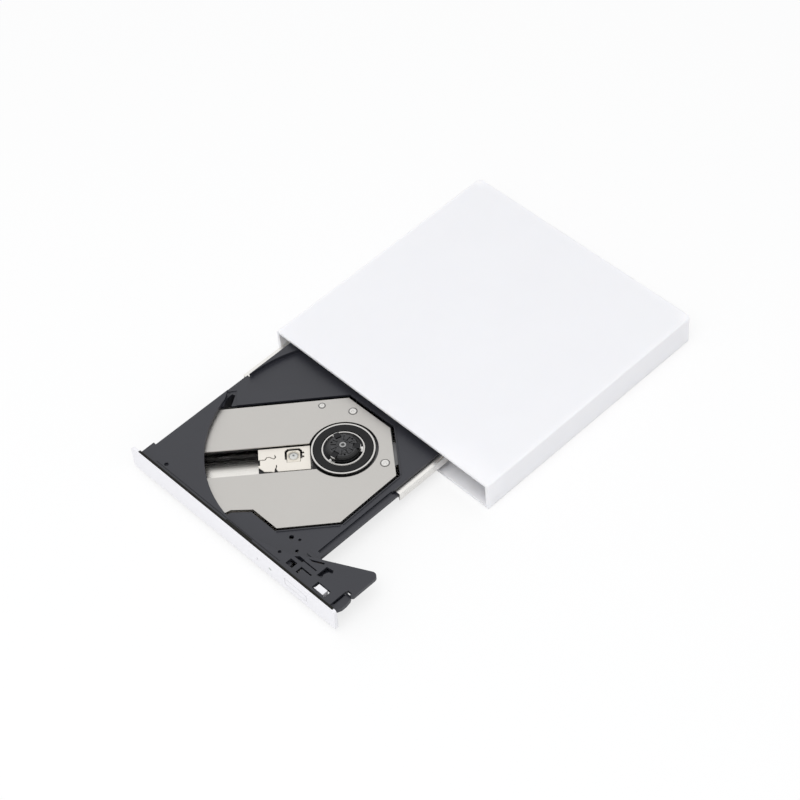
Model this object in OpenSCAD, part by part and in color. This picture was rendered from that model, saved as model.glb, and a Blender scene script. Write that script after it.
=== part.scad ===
// Slim external disc drive with its tray open.
// The length runs along Y with the bezel at the low end, and the feet stand on Z = 0.
// The case is measured from its mouth, the tray from its bezel's face, both towards the back.

/* [Case] */
// Width of the case
case_w = 134; // [133.6:0.1:138]
// Depth of the case from its mouth to its back
case_d = 134; // [133.5:0.1:145]
// Height of the case without its feet
case_h = 15.5; // [15.4:0.1:18]
// Radius of the case's upright back corners
case_corner = 2.5; // [1.5:0.1:4]
// Rounding along the top edges
case_edge = 1; // [0.5:0.1:1.2]
// Thickness of the side and back walls
wall_t = 1.5; // [1.2:0.1:1.6]
// Thickness of the top
top_t = 1.3; // [1:0.1:1.5]
// Thickness of the bottom cover
floor_t = 1.3; // [1.2:0.1:1.5]
// Gap round the bottom cover inside the walls
seam_gap = 0.15; // [0.1:0.05:0.3]
// Height of the feet under the case
foot_h = 0.8; // [0.5:0.1:2]
// Radius of a foot
foot_r = 4.5; // [3:0.1:6]
// Distance of a foot's centre from the case's sides
foot_inset = 14; // [10:0.5:25]

/* [Steel chassis] */
// Thickness of the sheet steel
sheet_t = 0.5; // [0.4:0.05:0.6]
// Distance from the mouth to the front of the pan
pan_front = 9; // [8:0.5:10]
// Gap between the pan's sides and the case
pan_gap = 0.2; // [0.1:0.05:0.4]
// Free depth behind the pan for the screw bosses
pan_back_gap = 5; // [4.8:0.1:5.2]
// Width of the main board
board_w = 21.5; // [18:0.1:21.8]
// Distance from the mouth to the front edge of the main board
board_front = 42; // [41.5:0.5:46]
// Thickness of the main board
board_t = 1.2; // [0.8:0.1:1.6]
// Height of the main board above the pan
board_lift = 1.1; // [0.8:0.1:1.6]

/* [USB socket] */
// Distance of the socket from the middle of the case
usb_x = 52; // [48:0.5:56]
// Width of the socket
usb_w = 7.7; // [7:0.1:9]
// Height of the socket
usb_h = 3.9; // [3:0.1:4.5]
// Length of the socket
usb_len = 9.2; // [8.5:0.1:10]
// Thickness of the socket's shell
usb_t = 0.4; // [0.3:0.05:0.5]
// Gap round the socket in the back wall
usb_gap = 0.4; // [0.3:0.05:0.8]
// Gap round the plastic tongue in the shell
usb_fit = 0.1; // [0.1:0.05:0.2]

/* [Tray] */
// How far the tray stands out of the case
tray_out = 90; // [80:0.5:95]
// Length of the tray with its bezel
tray_len = 126; // [122:0.1:126.3]
// Clear height between the tray's deck and the lid
deck_gap = 1.4; // [1.2:0.1:1.6]
// Thickness of the deck
deck_t = 1.6; // [1.2:0.1:1.8]
// Radius of the disc recess
recess_r = 61.4; // [60.5:0.1:61.8]
// Depth of the disc recess
recess_h = 2.1; // [1.8:0.1:2.2]
// Thickness of the recess floor
recess_t = 1.2; // [1:0.1:1.3]
// Thickness of the wall round the recess
rim_t = 1.2; // [1:0.1:1.5]
// Thickness of the tray's upright walls
tray_wall = 1.6; // [1.2:0.1:1.8]
// Gap between the pan and the tray's steel under plate
under_gap = 0.7; // [0.6:0.05:0.8]
// Gap round the grey shield plate in its window
shield_gap = 1.1; // [0.8:0.1:1.4]
// Height of the raised lip beside the window
lip_h = 0.4; // [0.2:0.1:0.6]

/* [Bezel] */
// Thickness of the bezel
bezel_t = 1.5; // [1.2:0.1:1.8]
// Thickness of the bezel's face in front of the tray's lip
face_t = 0.6; // [0.5:0.05:0.8]
// Gap round the bezel when it stands in the mouth
bezel_gap = 0.3; // [0.2:0.05:0.6]
// Radius of the bezel's corners
bezel_corner = 1.2; // [0.5:0.1:2]
// Width of the eject button
button_w = 13; // [10:0.5:15]
// Height of the eject button
button_h = 3.8; // [3:0.1:4.4]
// Distance of the eject button from the middle
button_x = 41; // [39:0.5:43]
// Gap round the eject button
button_gap = 0.2; // [0.15:0.05:0.3]
// Radius of the lamp window
led_r = 0.8; // [0.5:0.1:1]
// Distance of the lamp window from the middle
led_x = 25; // [22:0.5:28]
// Radius of the emergency eject hole
pinhole_r = 0.5; // [0.3:0.1:0.7]
// Distance of the emergency eject hole from the middle
pinhole_x = 17; // [14:0.5:20]

/* [Rails] */
// Length of a rail
rail_len = 96; // [92:0.5:98]
// Height of a rail
rail_h = 4.3; // [4.2:0.1:4.5]
// Height of the channel round the tray's tongue
rail_channel = 1.8; // [1.6:0.1:1.9]
// Width of a rail
rail_w = 3; // [2.8:0.1:3.1]
// Thickness of a rail's steel
rail_t = 0.55; // [0.4:0.05:0.6]
// Running gap of the rails in the tray and the guides
rail_gap = 0.2; // [0.15:0.05:0.25]
// Distance between the outer faces of the rails
rail_span = 101.3; // [100.8:0.1:101.6]
// Offset of the rails' midline from the middle of the case
rail_mid = -12.65; // [-12.8:0.05:-12.5]
// How far the rails stand out of the case
rail_out = 25; // [22:0.5:26]
// Length of a rail guide
guide_len = 42; // [36:0.5:44]

/* [Spindle] */
// Distance of the spindle from the middle of the case
spindle_x = 2.5; // [2:0.1:3]
// Distance of the spindle from the bezel's face
spindle_y = 65.2; // [65:0.1:65.6]
// Radius of the turntable
table_r = 14.3; // [14:0.1:14.5]
// Inner radius of the rubber mat
mat_in = 10; // [9.9:0.05:10.3]
// Outer radius of the rubber mat
mat_out = 13.2; // [12.8:0.1:13.4]
// Radius of the hub for a 15 mm disc hole
hub_r = 7.4; // [7.3:0.05:7.45]
// Radius of the light boss on the hub
boss_r = 1.5; // [1.3:0.1:1.8]
// How far a chuck pawl stands out of the hub
pawl_out = 0.6; // [0.4:0.05:0.8]
// Width of a chuck pawl
pawl_w = 2.6; // [2:0.1:3]

/* [Pickup] */
// Direction of the pickup's path, turned from the case's width
sled_angle = 49; // [48:0.5:50]
// Length of the pickup
pickup_len = 23; // [22:0.1:23.2]
// Distance from the spindle to the pickup's near end
pickup_s = 14.8; // [14.7:0.1:15.4]
// Distance from the spindle to the lens
lens_s = 22.2; // [22:0.1:22.8]
// Radius of the lens
lens_r = 2.1; // [1.8:0.1:2.3]
// Gap between the pickup and the slot's edges
pickup_gap = 0.35; // [0.3:0.05:0.6]
// Radius of the guide rods
rod_r = 1; // [0.9:0.05:1.1]
// Radius of the lead screw
screw_r = 1; // [0.8:0.05:1.1]
// Running gap of the rods and the lead screw in the sled
rod_gap = 0.15; // [0.1:0.05:0.2]

/* [Latch] */
// Angle of the released latch lever
latch_open = 12; // [10:0.5:14]
// Radius of the latch lever's pivot
pivot_r = 1.3; // [1:0.1:1.5]
// Radius of the latch post on the pan
latch_r = 1.2; // [1:0.1:1.3]
// Radius of the eject pusher
pusher_r = 1.1; // [0.9:0.05:1.2]

/* [Hidden] */
$fn = 48;
// shares a flat face without a sliver
eps = 0.02;

// planes of the case, from the ground up
case_top = foot_h + case_h;
floor_top = foot_h + floor_t;
pan_top = floor_top + sheet_t;
top_under = case_top - top_t;
lid_under = top_under - sheet_t;
inner_w = case_w - 2 * wall_t;
inner_d = case_d - wall_t;
mouth_y = -(case_d - tray_out) / 2;
bezel_y = mouth_y - tray_out;
pan_x = inner_w / 2 - pan_gap;
pan_back = inner_d - pan_back_gap;
case_boss_x = inner_w / 2 - 2.6;
case_boss_y = inner_d - 2;

// planes of the tray
deck_z = lid_under - deck_gap;
deck_under = deck_z - deck_t;
recess_z = deck_z - recess_h;
recess_under = recess_z - recess_t;
under_z = pan_top + under_gap;
under_top = under_z + sheet_t;
shield_top = recess_z - 0.3;
shield_under = shield_top - sheet_t;
frame_top = recess_under - 0.4;
frame_under = frame_top - 1;
rod_z = recess_under - 3.5;
sled_low = recess_under - 5.4;
mat_top = recess_z + 0.5;
table_top = mat_top - 0.3;
hub_top = lid_under - 0.5;
bezel_low = floor_top + bezel_gap;
bezel_high = top_under - bezel_gap;
bezel_w = inner_w - 2 * bezel_gap;
tray_left = rail_mid - rail_span / 2 + rail_w + 0.8;
button_z = (bezel_low + bezel_high) / 2 - 0.6;

// rail section, measured from the rails' midline
web_out = rail_span / 2;
web_in = web_out - rail_t;
flange_in = web_out - rail_w;
side_out = flange_in - 0.8;
side_in = side_out - tray_wall;
rail_top = recess_under - 0.3;
rail_low = rail_top - rail_h;
channel_top = rail_top - rail_t;
channel_low = channel_top - rail_channel;
guide_top = channel_low - rail_t - 0.3;

// board and socket
board_x1 = pan_x - sheet_t - 1;
board_x0 = board_x1 - board_w;
board_z = pan_top + board_lift;
board_top = board_z + board_t;
board_back = pan_back - sheet_t - 0.5;
usb_z = board_top + usb_h / 2;
usb_back = inner_d + 0.6;
ribbon_y0 = 54;
ribbon_w = 12;
ribbon_x = 10;

// places on the tray
recess_y = spindle_y;
window = [
    [-56.2, 43.4], [-17.7, 88.6], [9.5, 88.9], [31.2, 71.3], [31.7, 36],
    [13.3, 14.4], [-1.7, 14.4], [-8.2, 7.9], [-12, -8], [-75, -8], [-75, 43.4]
];
ear_tip_r = 2.3;
ear_x = 64.3;
ear_slope = 27.25;
ear_tip = [ear_x - ear_tip_r, 24.5];
damper_at = [[-35, 76], [24, 20], [24, 83.5]];
tray_screw_at = [[-53, 112], [29, 112], [-55.6, 36], [-20, 4.6], [27.4, 8.2], [-54, 76]];
shield_screw_at = [[-10.1, 83.3, 2.1], [21.6, 72.3, 2.2], [-22.7, 76.1, 1.7]];
board_screw_at = [[board_x1 - 2.5, board_front + 3], [board_x0 + 2.5, 88], [board_x1 - 2.5, 108]];
lid_post_at = [[pan_x - sheet_t - 3, 31.5], [pan_x - sheet_t - 3, pan_back - sheet_t - 2.4]];
latch_pivot = [46.2, 9.6];
latch_post_at = [49.4, 19.2];
pusher_x = 57;
pusher_z = 6.4;
pusher_tip = 17;
pusher_tabs = [25.2, 40];
screw_hole = 0.1;

// pickup slot and sled, measured from the spindle's line
slot_n0 = -5.2;
slot_n1 = 9.8;
main_n = -9;
sub_n = 12.6;
lead_n = -13;
nut_s = pickup_s + 4;

// colours
white = [0.95, 0.95, 0.97];
charcoal = [0.2, 0.2, 0.22];
steel = [0.75, 0.75, 0.74];
grey = [0.78, 0.77, 0.75];
black = [0.1, 0.1, 0.11];
green = [0.1, 0.35, 0.2];
cream = [0.91, 0.88, 0.83];
brass = [0.75, 0.62, 0.3];

// corners of an outline moved inwards by d
function unit(v) = v / norm(v);
function side(a, b) = let (u = unit(b - a)) [-u[1], u[0]];
function moved(p, a, b, d) =
    let (n0 = side(a, p), n1 = side(p, b), k = 1 + n0 * n1) p - d * (n0 + n1) / k;
// a boss ends in the deck outside the recess and under its floor inside
function boss_top(p) =
    norm(p - [spindle_x, recess_y]) > recess_r + 1.9 ? deck_under + eps : recess_under + eps;
function inset(o, d) =
    let (m = len(o)) [for (i = [0 : m - 1]) moved(o[i], o[(i + m - 1) % m], o[(i + 1) % m], -d)];

module box(x0, x1, y0, y1, z0, z1) {
    translate([x0, y0, z0]) cube([x1 - x0, y1 - y0, z1 - z0]);
}

module post(x, y, r, z0, z1) {
    translate([x, y, z0]) cylinder(r = r, h = z1 - z0);
}

// round bar along X
module bar(x0, x1, y, z, r) {
    translate([x0, y, z]) rotate([0, 90, 0]) cylinder(r = r, h = x1 - x0);
}

module both_sides() {
    children();
    mirror([1, 0, 0]) children();
}

module ring(r0, r1, z0, z1) {
    difference() {
        post(0, 0, r1, z0, z1);
        post(0, 0, r0, z0 - 1, z1 + 1);
    }
}

module round_rect(w, d, r) {
    square([w - 2 * r, d], center = true);
    square([w, d - 2 * r], center = true);
    for (i = [-1, 1], j = [-1, 1]) translate([i * (w / 2 - r), j * (d / 2 - r)]) circle(r);
}

// block with round upright corners and rounded top edges
module soft_box(w, d, h, r, e) {
    linear_extrude(h - e) round_rect(w, d, r);
    linear_extrude(h) round_rect(w - 2 * e, d - 2 * e, r - e);
    for (j = [-1, 1]) {
        translate([-w / 2 + r, j * (d / 2 - e), h - e]) rotate([0, 90, 0]) cylinder(r = e, h = w - 2 * r);
        translate([j * (w / 2 - e), d / 2 - r, h - e]) rotate([90, 0, 0]) cylinder(r = e, h = d - 2 * r);
    }
    for (i = [-1, 1], j = [-1, 1])
        translate([i * (w / 2 - r), j * (d / 2 - r), h - e])
            rotate_extrude() translate([r - e, 0]) intersection() {
                circle(e);
                translate([e - r, -e]) square([r, 2 * e]);
            }
}

module in_case() {
    translate([0, mouth_y, 0]) children();
}

module in_tray() {
    translate([0, bezel_y, 0]) children();
}

module in_spindle() {
    in_tray() translate([spindle_x, spindle_y, 0]) children();
}

// X runs from the spindle along the pickup's path, Y across it
module in_sled() {
    in_spindle() rotate([0, 0, 180 + sled_angle]) children();
}

// pan head screw with its head below z, pointing up
module small_screw(x, y, z, r, head_r, head_h, len) {
    post(x, y, head_r, z - head_h, z);
    post(x, y, r, z - eps, z + len);
}

module dome(x, y, z, r, h) {
    ball = (r * r + h * h) / (2 * h);
    translate([x, y, z]) intersection() {
        translate([0, 0, h - ball]) sphere(ball);
        cylinder(r = r, h = h);
    }
}

// Case

module top_cover() color(white) in_case() {
    difference() {
        translate([0, case_d / 2 - 5, foot_h]) soft_box(case_w, case_d + 10, case_h, case_corner, case_edge);
        box(-case_w, case_w, -20, 0, -1, case_top + 1);
        box(-inner_w / 2, inner_w / 2, -1, inner_d, -1, top_under);
        translate([usb_x, inner_d - 1, usb_z]) rotate([-90, 0, 0])
            linear_extrude(wall_t + 2) round_rect(usb_w + 2 * usb_gap, usb_h + 2 * usb_gap, 0.6);
        // catches of the snap hooks
        both_sides() box(inner_w / 2 - 0.1, inner_w / 2 + 0.8, 2.8, 8.2, floor_top + 1.5, floor_top + 3);
    }
    both_sides() difference() {
        union() {
            post(case_boss_x, case_boss_y, 2.1, floor_top, top_under + eps);
            box(case_boss_x + 0.1, inner_w / 2 + eps, case_boss_y - 0.8, inner_d + eps,
                floor_top, top_under + eps);
        }
        post(case_boss_x, case_boss_y, 0.9 + screw_hole, floor_top - 1, floor_top + 7);
    }
}

module bottom_cover() color(white) in_case() {
    difference() {
        box(-inner_w / 2 + seam_gap, inner_w / 2 - seam_gap, 0, inner_d - seam_gap, foot_h, floor_top);
        both_sides() {
            post(case_boss_x, case_boss_y, 0.9 + screw_hole, 0, floor_top + 1);
            post(case_boss_x, case_boss_y, 1.9, 0, foot_h + 0.75);
        }
        for (p = lid_post_at) post(p[0], p[1], 2, foot_h + 0.6, floor_top + 1);
    }
    // snap hooks in the walls by the mouth
    both_sides() {
        box(inner_w / 2 - 0.95, inner_w / 2 - 0.15, 3, 8, floor_top - eps, floor_top + 2.8);
        box(inner_w / 2 - 0.5, inner_w / 2 + 0.3, 3, 8, floor_top + 1.7, floor_top + 2.8);
    }
}

module rubber_feet() color(charcoal) in_case() {
    for (i = [-1, 1], y = [foot_inset, case_d - foot_inset])
        translate([i * (case_w / 2 - foot_inset), y, 0]) cylinder(r = foot_r, h = foot_h);
}

module case_screws() color(steel) in_case() {
    both_sides() small_screw(case_boss_x, case_boss_y, foot_h + 0.75, 0.9, 1.7, 0.65, 6);
}

// Chassis

module chassis_pan() color(steel) in_case() {
    difference() {
        union() {
            box(-pan_x, pan_x, pan_front, pan_back, floor_top, pan_top);
            both_sides() box(pan_x - sheet_t, pan_x, pan_front, pan_back, floor_top, lid_under);
            box(-pan_x, pan_x, pan_back - sheet_t, pan_back, floor_top, lid_under);
            for (y = [pan_front + 14, pan_back - 24])
                box(-pan_x, -pan_x + sheet_t + 3, y, y + 8, lid_under - sheet_t, lid_under);
            for (p = lid_post_at) post(p[0], p[1], 2.2, floor_top, lid_under);
            for (p = board_screw_at) post(p[0], p[1], 1.8, floor_top, board_z);
            // two tabs that carry the eject pusher
            for (y = pusher_tabs) box(pusher_x - 2, pusher_x + 2, y, y + sheet_t, floor_top, pusher_z + 2);
        }
        for (p = lid_post_at) post(p[0], p[1], 0.9 + screw_hole, floor_top - 1, floor_top + 6.2);
        for (p = board_screw_at) post(p[0], p[1], 0.8 + screw_hole, pan_top, board_z + 1);
        translate([pusher_x, pan_front, pusher_z]) rotate([-90, 0, 0]) cylinder(r = pusher_r + 0.15, h = 36);
        box(usb_x - usb_w / 2 - 0.5, usb_x + usb_w / 2 + 0.5, pan_back - 1, pan_back + 1, board_z - 0.3,
            usb_z + usb_h / 2 + 0.5);
    }
}

module chassis_lid() color(steel) in_case() {
    difference() {
        box(-pan_x, pan_x, pan_front + 1, pan_back, lid_under, top_under);
        both_sides() box(42, 54, pan_front, pan_front + 3, lid_under - 1, top_under + 1);
    }
}

module chassis_screws() color(steel) in_case() {
    for (p = lid_post_at) small_screw(p[0], p[1], floor_top, 0.9, 1.7, 0.6, 6);
}

module rail_guide() {
    y0 = pan_front + 1;
    difference() {
        box(web_in - 1.2, web_out + 1.3, y0, y0 + guide_len, pan_top, guide_top);
        box(web_in - rail_gap, web_out + rail_gap, y0 - 1, y0 + guide_len + 1, rail_low - 0.3, guide_top + 1);
    }
}

module left_guide() color(black) in_case() {
    translate([rail_mid, 0, 0]) mirror([1, 0, 0]) rail_guide();
}

module right_guide() color(black) in_case() {
    translate([rail_mid, 0, 0]) rail_guide();
}

module latch_post() color(steel) in_case() {
    post(latch_post_at[0], latch_post_at[1], latch_r, pan_top, pan_top + 5.2);
    post(latch_post_at[0], latch_post_at[1], latch_r + 1, pan_top, pan_top + 0.5);
}

module main_board() color(green) in_case() {
    difference() {
        box(board_x0, board_x1, board_front, board_back, board_z, board_top);
        for (p = board_screw_at) post(p[0], p[1], 0.8 + screw_hole, board_z - 1, board_top + 1);
        box(lid_post_at[1][0] - 2.7, pan_x, lid_post_at[1][1] - 2.7, pan_back, board_z - 1, board_top + 1);
    }
}

module board_chips() color(black) in_case() {
    mid = (board_x0 + board_x1) / 2;
    box(mid - 6, mid + 6, 68, 80, board_top, board_top + 1.2);
    box(mid - 1, mid + 8, 93, 102, board_top, board_top + 1);
    box(mid - 6, mid, 46, 51, board_top, board_top + 1.5);
    for (y = [56, 61, 86]) box(mid + 4, mid + 7, y, y + 1.8, board_top, board_top + 1.2);
}

module board_screws() color(steel) in_case() {
    for (p = board_screw_at) {
        post(p[0], p[1], 1.5, board_top, board_top + 0.6);
        post(p[0], p[1], 0.8, pan_top + 0.1, board_top + eps);
    }
}

module ribbon_socket() color(cream) in_case() {
    difference() {
        box(board_x0 + 0.3, board_x0 + 4, ribbon_y0 - 1.2, ribbon_y0 + ribbon_w + 1.2,
            board_top, board_top + 1.4);
        box(board_x0 - 1, board_x0 + 2.6, ribbon_y0 - 0.2, ribbon_y0 + ribbon_w + 0.2,
            board_top + 0.4, board_top + 0.8);
    }
}

module usb_socket() color(steel) in_case() {
    translate([usb_x, usb_back - usb_len, usb_z]) rotate([-90, 0, 0]) difference() {
        linear_extrude(usb_len) round_rect(usb_w, usb_h, 0.5);
        translate([0, 0, usb_t])
            linear_extrude(usb_len) round_rect(usb_w - 2 * usb_t, usb_h - 2 * usb_t, 0.3);
    }
}

module usb_tongue() color(black) in_case() {
    y0 = usb_back - usb_len + usb_t;
    x1 = usb_w / 2 - usb_t - usb_fit;
    z1 = usb_h / 2 - usb_t - usb_fit;
    box(usb_x - x1, usb_x + x1, y0, y0 + 1.6, usb_z - z1, usb_z + z1);
    box(usb_x - 2.4, usb_x + 2.4, y0, usb_back - 1.2, usb_z - 0.1, usb_z + 0.7);
}

// flat cable from the board, along the pan, round its bend and forward to the tray
module ribbon_cable() color(white) in_case() {
    t = 0.15;
    low = pan_top + 0.02;
    bend_r = (under_gap - 0.1) / 2;
    bend_y = 79;
    end_y = 115 - tray_out;
    y1 = ribbon_y0 + ribbon_w;
    box(board_x0 - 0.9, board_x0 + 2.4, ribbon_y0, y1, board_top + 0.5, board_top + 0.5 + t);
    box(board_x0 - 1, board_x0 - 1 + t, ribbon_y0, y1, low, board_top + 0.5 + t);
    box(ribbon_x, board_x0 - 0.9, ribbon_y0, y1, low, low + t);
    box(ribbon_x, ribbon_x + ribbon_w, y1 - 1, bend_y, low, low + t);
    translate([ribbon_x, bend_y, low + bend_r]) rotate([90, 0, 90]) linear_extrude(ribbon_w) difference() {
        circle(bend_r);
        circle(bend_r - t);
        translate([-2, -1]) square([2, 2]);
    }
    box(ribbon_x, ribbon_x + ribbon_w, end_y, bend_y, low + 2 * bend_r - t, low + 2 * bend_r);
    box(ribbon_x, ribbon_x + ribbon_w, end_y, end_y + t, low + 2 * bend_r - t, under_top + 1);
}

// Rails

module rail() {
    y0 = -rail_out;
    y1 = y0 + rail_len;
    difference() {
        union() {
            box(web_in, web_out, y0, y1, rail_low, rail_top);
            box(flange_in, web_out, y0, y1, channel_top, rail_top);
            box(flange_in, web_out, y0, y1, channel_low - rail_t, channel_low);
        }
        for (y = [y1 - 6, y1 - 12])
            bar(web_in - 1, web_out + 1, y, (channel_low + channel_top) / 2, 0.6);
    }
}

module left_rail() color(steel) in_case() {
    translate([rail_mid, 0, 0]) mirror([1, 0, 0]) rail();
}

module right_rail() color(steel) in_case() {
    translate([rail_mid, 0, 0]) rail();
}

// Tray

module ear_outline() {
    polygon([
        [20, bezel_t], [60, bezel_t], [60, 11.3], [ear_x - 0.9, 11.3], [ear_x, 12.2], [ear_x, ear_tip[1]],
        ear_tip + ear_tip_r * [-sin(ear_slope), cos(ear_slope)], [40.9, 16.3], [20, 16.3]
    ]);
    translate(ear_tip) circle(ear_tip_r);
}

module deck_outline() {
    ear_outline();
    translate([tray_left - 1.5, bezel_t]) square([22 - tray_left + 1.5, 8]);
    translate([tray_left, bezel_t]) square([rail_mid + side_out + 1.2 - tray_left, tray_len - bezel_t]);
}

// openings moulded into the deck by the latch
module deck_slots() {
    for (b = [[30.5, 34.5, 4.5, 7.8], [37, 38.3, 4.3, 7.8], [37.2, 43.5, 7.1, 7.8], [47.8, 55.6, 3.5, 7.3]])
        translate([b[0], b[2]]) square([b[1] - b[0], b[3] - b[2]]);
    polygon([[30.8, 9.4], [32.4, 11.1], [35.6, 11.1], [35.6, 9.5]]);
    polygon([[36.2, 12.75], [37.9, 13.4], [43, 15.9], [43.3, 15.1], [38.6, 12.75]]);
    polygon([[44.9, 9.2], [45, 15], [48.6, 15.6], [49.3, 14.2], [47.6, 13.6], [46.9, 11.4], [47.6, 9.6]]);
}

module tray_floor() {
    difference() {
        intersection() {
            union() {
                translate([tray_left, bezel_t])
                    square([rail_mid + side_out + 1.2 - tray_left, tray_len - bezel_t]);
                translate([20, 14]) square([rail_mid + web_out + 0.3 - 20, 48.6]);
            }
            translate([spindle_x, recess_y]) circle(recess_r + rim_t / 2);
        }
        polygon(inset(window, 0.5));
        for (p = [[24.9, 17.9, 0.7], [21.2, 16.5, 1.1], [28.3, 13, 0.8]])
            translate([p[0], p[1]]) circle(p[2]);
    }
}

module tray_side() {
    box(side_in, side_out, 14, tray_len, under_top, recess_under + eps);
    // tongue in the rail
    box(side_out - eps, web_in - 0.3, 14, tray_len, channel_low + rail_gap, channel_top - rail_gap);
}

module tray_rim() {
    difference() {
        union() {
            translate([0, 0, deck_under]) linear_extrude(deck_t) deck_outline();
            translate([0, 0, recess_under]) linear_extrude(deck_z - recess_under) intersection() {
                deck_outline();
                translate([spindle_x, recess_y]) circle(recess_r + rim_t);
            }
        }
        post(spindle_x, recess_y, recess_r, 0, deck_z + 1);
        // room for the shield plate under the deck's left edge
        translate([0, 0, recess_under - 1]) linear_extrude(deck_under - recess_under + 1)
            polygon(inset(window, 0.5));
        translate([0, 0, deck_under - 1]) linear_extrude(deck_t + 2) deck_slots();
        // low stretch of the left rim, and the narrow one behind it that shows the rail
        box(tray_left - 1, tray_left + 3, 53, 65.4, recess_z, deck_z + 1);
        box(tray_left - 1, tray_left + 0.3, 65, tray_len + 1, recess_z, deck_z + 1);
        // blind holes and the shallow line of the latch
        for (p = [[24.4, 6.8, 0.8], [-47.4, 5.2, 1]]) post(p[0], p[1], p[2], deck_z - 1.2, deck_z + 1);
        box(35.5, 43.3, 10.3, 10.9, deck_z - 1.1, deck_z + 1);
        // faint groove beside the front edge
        box(-52, 28, 3.2, 3.6, deck_z - 0.2, deck_z + 1);
    }
}

module window_lip() {
    open = inset(window, 0.5);
    edge = [open[2], open[3], open[4], open[5]];
    for (i = [0 : 2]) {
        a = edge[i];
        b = edge[i + 1];
        v = b - a;
        translate([a[0], a[1], recess_z - eps]) rotate(atan2(v[1], v[0]))
            translate([0.5, 0.2, 0]) cube([norm(v) - 1, 0.5, lip_h + eps]);
    }
}

module ear_skirt() {
    low = deck_z - 4;
    difference() {
        translate([0, 0, low]) linear_extrude(4 - deck_t + eps) ear_outline();
        box(0, rail_mid + side_in, 0, 20, low - 1, deck_z);
        box(19, 58.8, bezel_t + 1.4, bezel_t + 10.4, low - 1, deck_z);
        box(57, ear_x + 1, 11.2, 30, low - 1, deck_under - 0.4);
        translate([0, 0, low - 1]) linear_extrude(6) polygon([
            [10, 0], [58.8, 0], [58.8, 12.5], [ear_x - 2.2, 12.6], [ear_x - 1.2, 13.6], [ear_x - 1.2, 24],
            [61.6, 25.4], [41, 14.9], [10, 14.9]
        ]);
    }
}

module tray() color(charcoal) in_tray() {
    difference() {
        union() {
            translate([0, 0, recess_under]) linear_extrude(recess_t) tray_floor();
            tray_rim();
            window_lip();
            ear_skirt();
            translate([rail_mid, 0, 0]) {
                tray_side();
                mirror([1, 0, 0]) tray_side();
            }
            // front wall and the block at its left end
            box(tray_left - 1.5, 60, bezel_t, bezel_t + 1.5, under_top, deck_z - eps);
            box(tray_left - 1.5, tray_left - 0.2, bezel_t, 9.5, under_top, deck_z - eps);
            box(tray_left - 1.5, tray_left + tray_wall, 8.2, 9.5, under_top, deck_z - eps);
            // floor out to the edge beside the low stretch of the rim
            box(tray_left - 1.2, tray_left + 3, 53, 65.4, recess_under, recess_z);
            // dark lip behind the bezel's face
            box(tray_left - 1.5, 63.5, face_t + 0.1, bezel_t + 0.4, deck_z + 0.2, bezel_high - 0.2);
            box(tray_left - 1.5, 61.6, bezel_t, bezel_t + 0.4, deck_under, bezel_high - 0.2);
            // lobe at the bezel's right end
            translate([0, 0, deck_z - 3.4]) linear_extrude(2.3) polygon([
                [59.9, bezel_t], [61.8, bezel_t + 0.3], [63.4, 3.3], [64.2, 5.2], [64.2, 7.8], [63.7, 10.6],
                [63.1, 11.6], [59.9, 11.6]
            ]);
            box(58.6, 60, bezel_t, 11.3, deck_z - 3.4, deck_under + eps);
            // web under the latch opening
            box(43.6, 50.2, 8.4, 16.4, 9.7, 10.3);
            box(43.6, 45.5, 8.4, 17.6, 9.7, 10.3);
            // bosses for the under plate
            for (p = tray_screw_at) post(p[0], p[1], 1.9, under_top, boss_top(p));
            // posts that carry the dampers
            for (p = damper_at) post(p[0], p[1], 1.2, frame_under - 0.6, recess_under + eps);
            // posts and ribs under the ear
            post(latch_pivot[0], latch_pivot[1], pivot_r, 5.2, deck_under + eps);
            for (p = [[31, 5.8], [56, 5.8]]) post(p[0], p[1], 1.3, 6.4, deck_under + eps);
            // rib that the eject pusher bears on
            box(pusher_x - 1.5, pusher_x + 1.5, 22.6, 23.8, pusher_z - 1.6, deck_under + eps);
        }
        // long groove beside the floor's right edge
        box(rail_mid + web_out - 3, rail_mid + web_out - 1.1, 19, 63, recess_z - 0.9, recess_z + 1);
        // slot and hole between the ear and its lobe
        box(60, 60.6, 4.2, 11.7, deck_z - 2.7, deck_z + 1);
        box(60.4, 62.7, 11.5, 12.7, 0, deck_z + 1);
        // finger notch beside the disc
        translate([0, 0, recess_z - 0.4]) linear_extrude(4)
            polygon([[-53.4, 43.6], [-59.8, 52.9], [-57.6, 55.9], [-51, 50]]);
        translate([0, 0, recess_under - 1]) linear_extrude(6)
            polygon([[-53.8, 43.8], [-57.8, 50.2], [-57.8, 53.2], [-56.2, 53.8], [-51.4, 46]]);
        for (p = tray_screw_at) post(p[0], p[1], 0.8 + screw_hole, under_top - 1, under_top + 4.4);
        for (p = damper_at) post(p[0], p[1], 0.6 + screw_hole, 0, frame_top);
        // button, lamp and emergency hole in the front wall
        box(button_x - button_w / 2 - 1.6, button_x + button_w / 2 + 1.6, bezel_t - 1, bezel_t + 2,
            button_z - button_h / 2 - 1.2, button_z + button_h / 2 + 1.2);
        for (p = [[led_x, led_r + 0.2], [pinhole_x, pinhole_r]]) translate([p[0], bezel_t - 1, button_z])
            rotate([-90, 0, 0]) cylinder(r = p[1], h = 3);
        // clip of the bezel
        box(48.3, 54.6, bezel_t - 1, bezel_t + 2, deck_under - 1.6, deck_under);
    }
}

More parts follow.
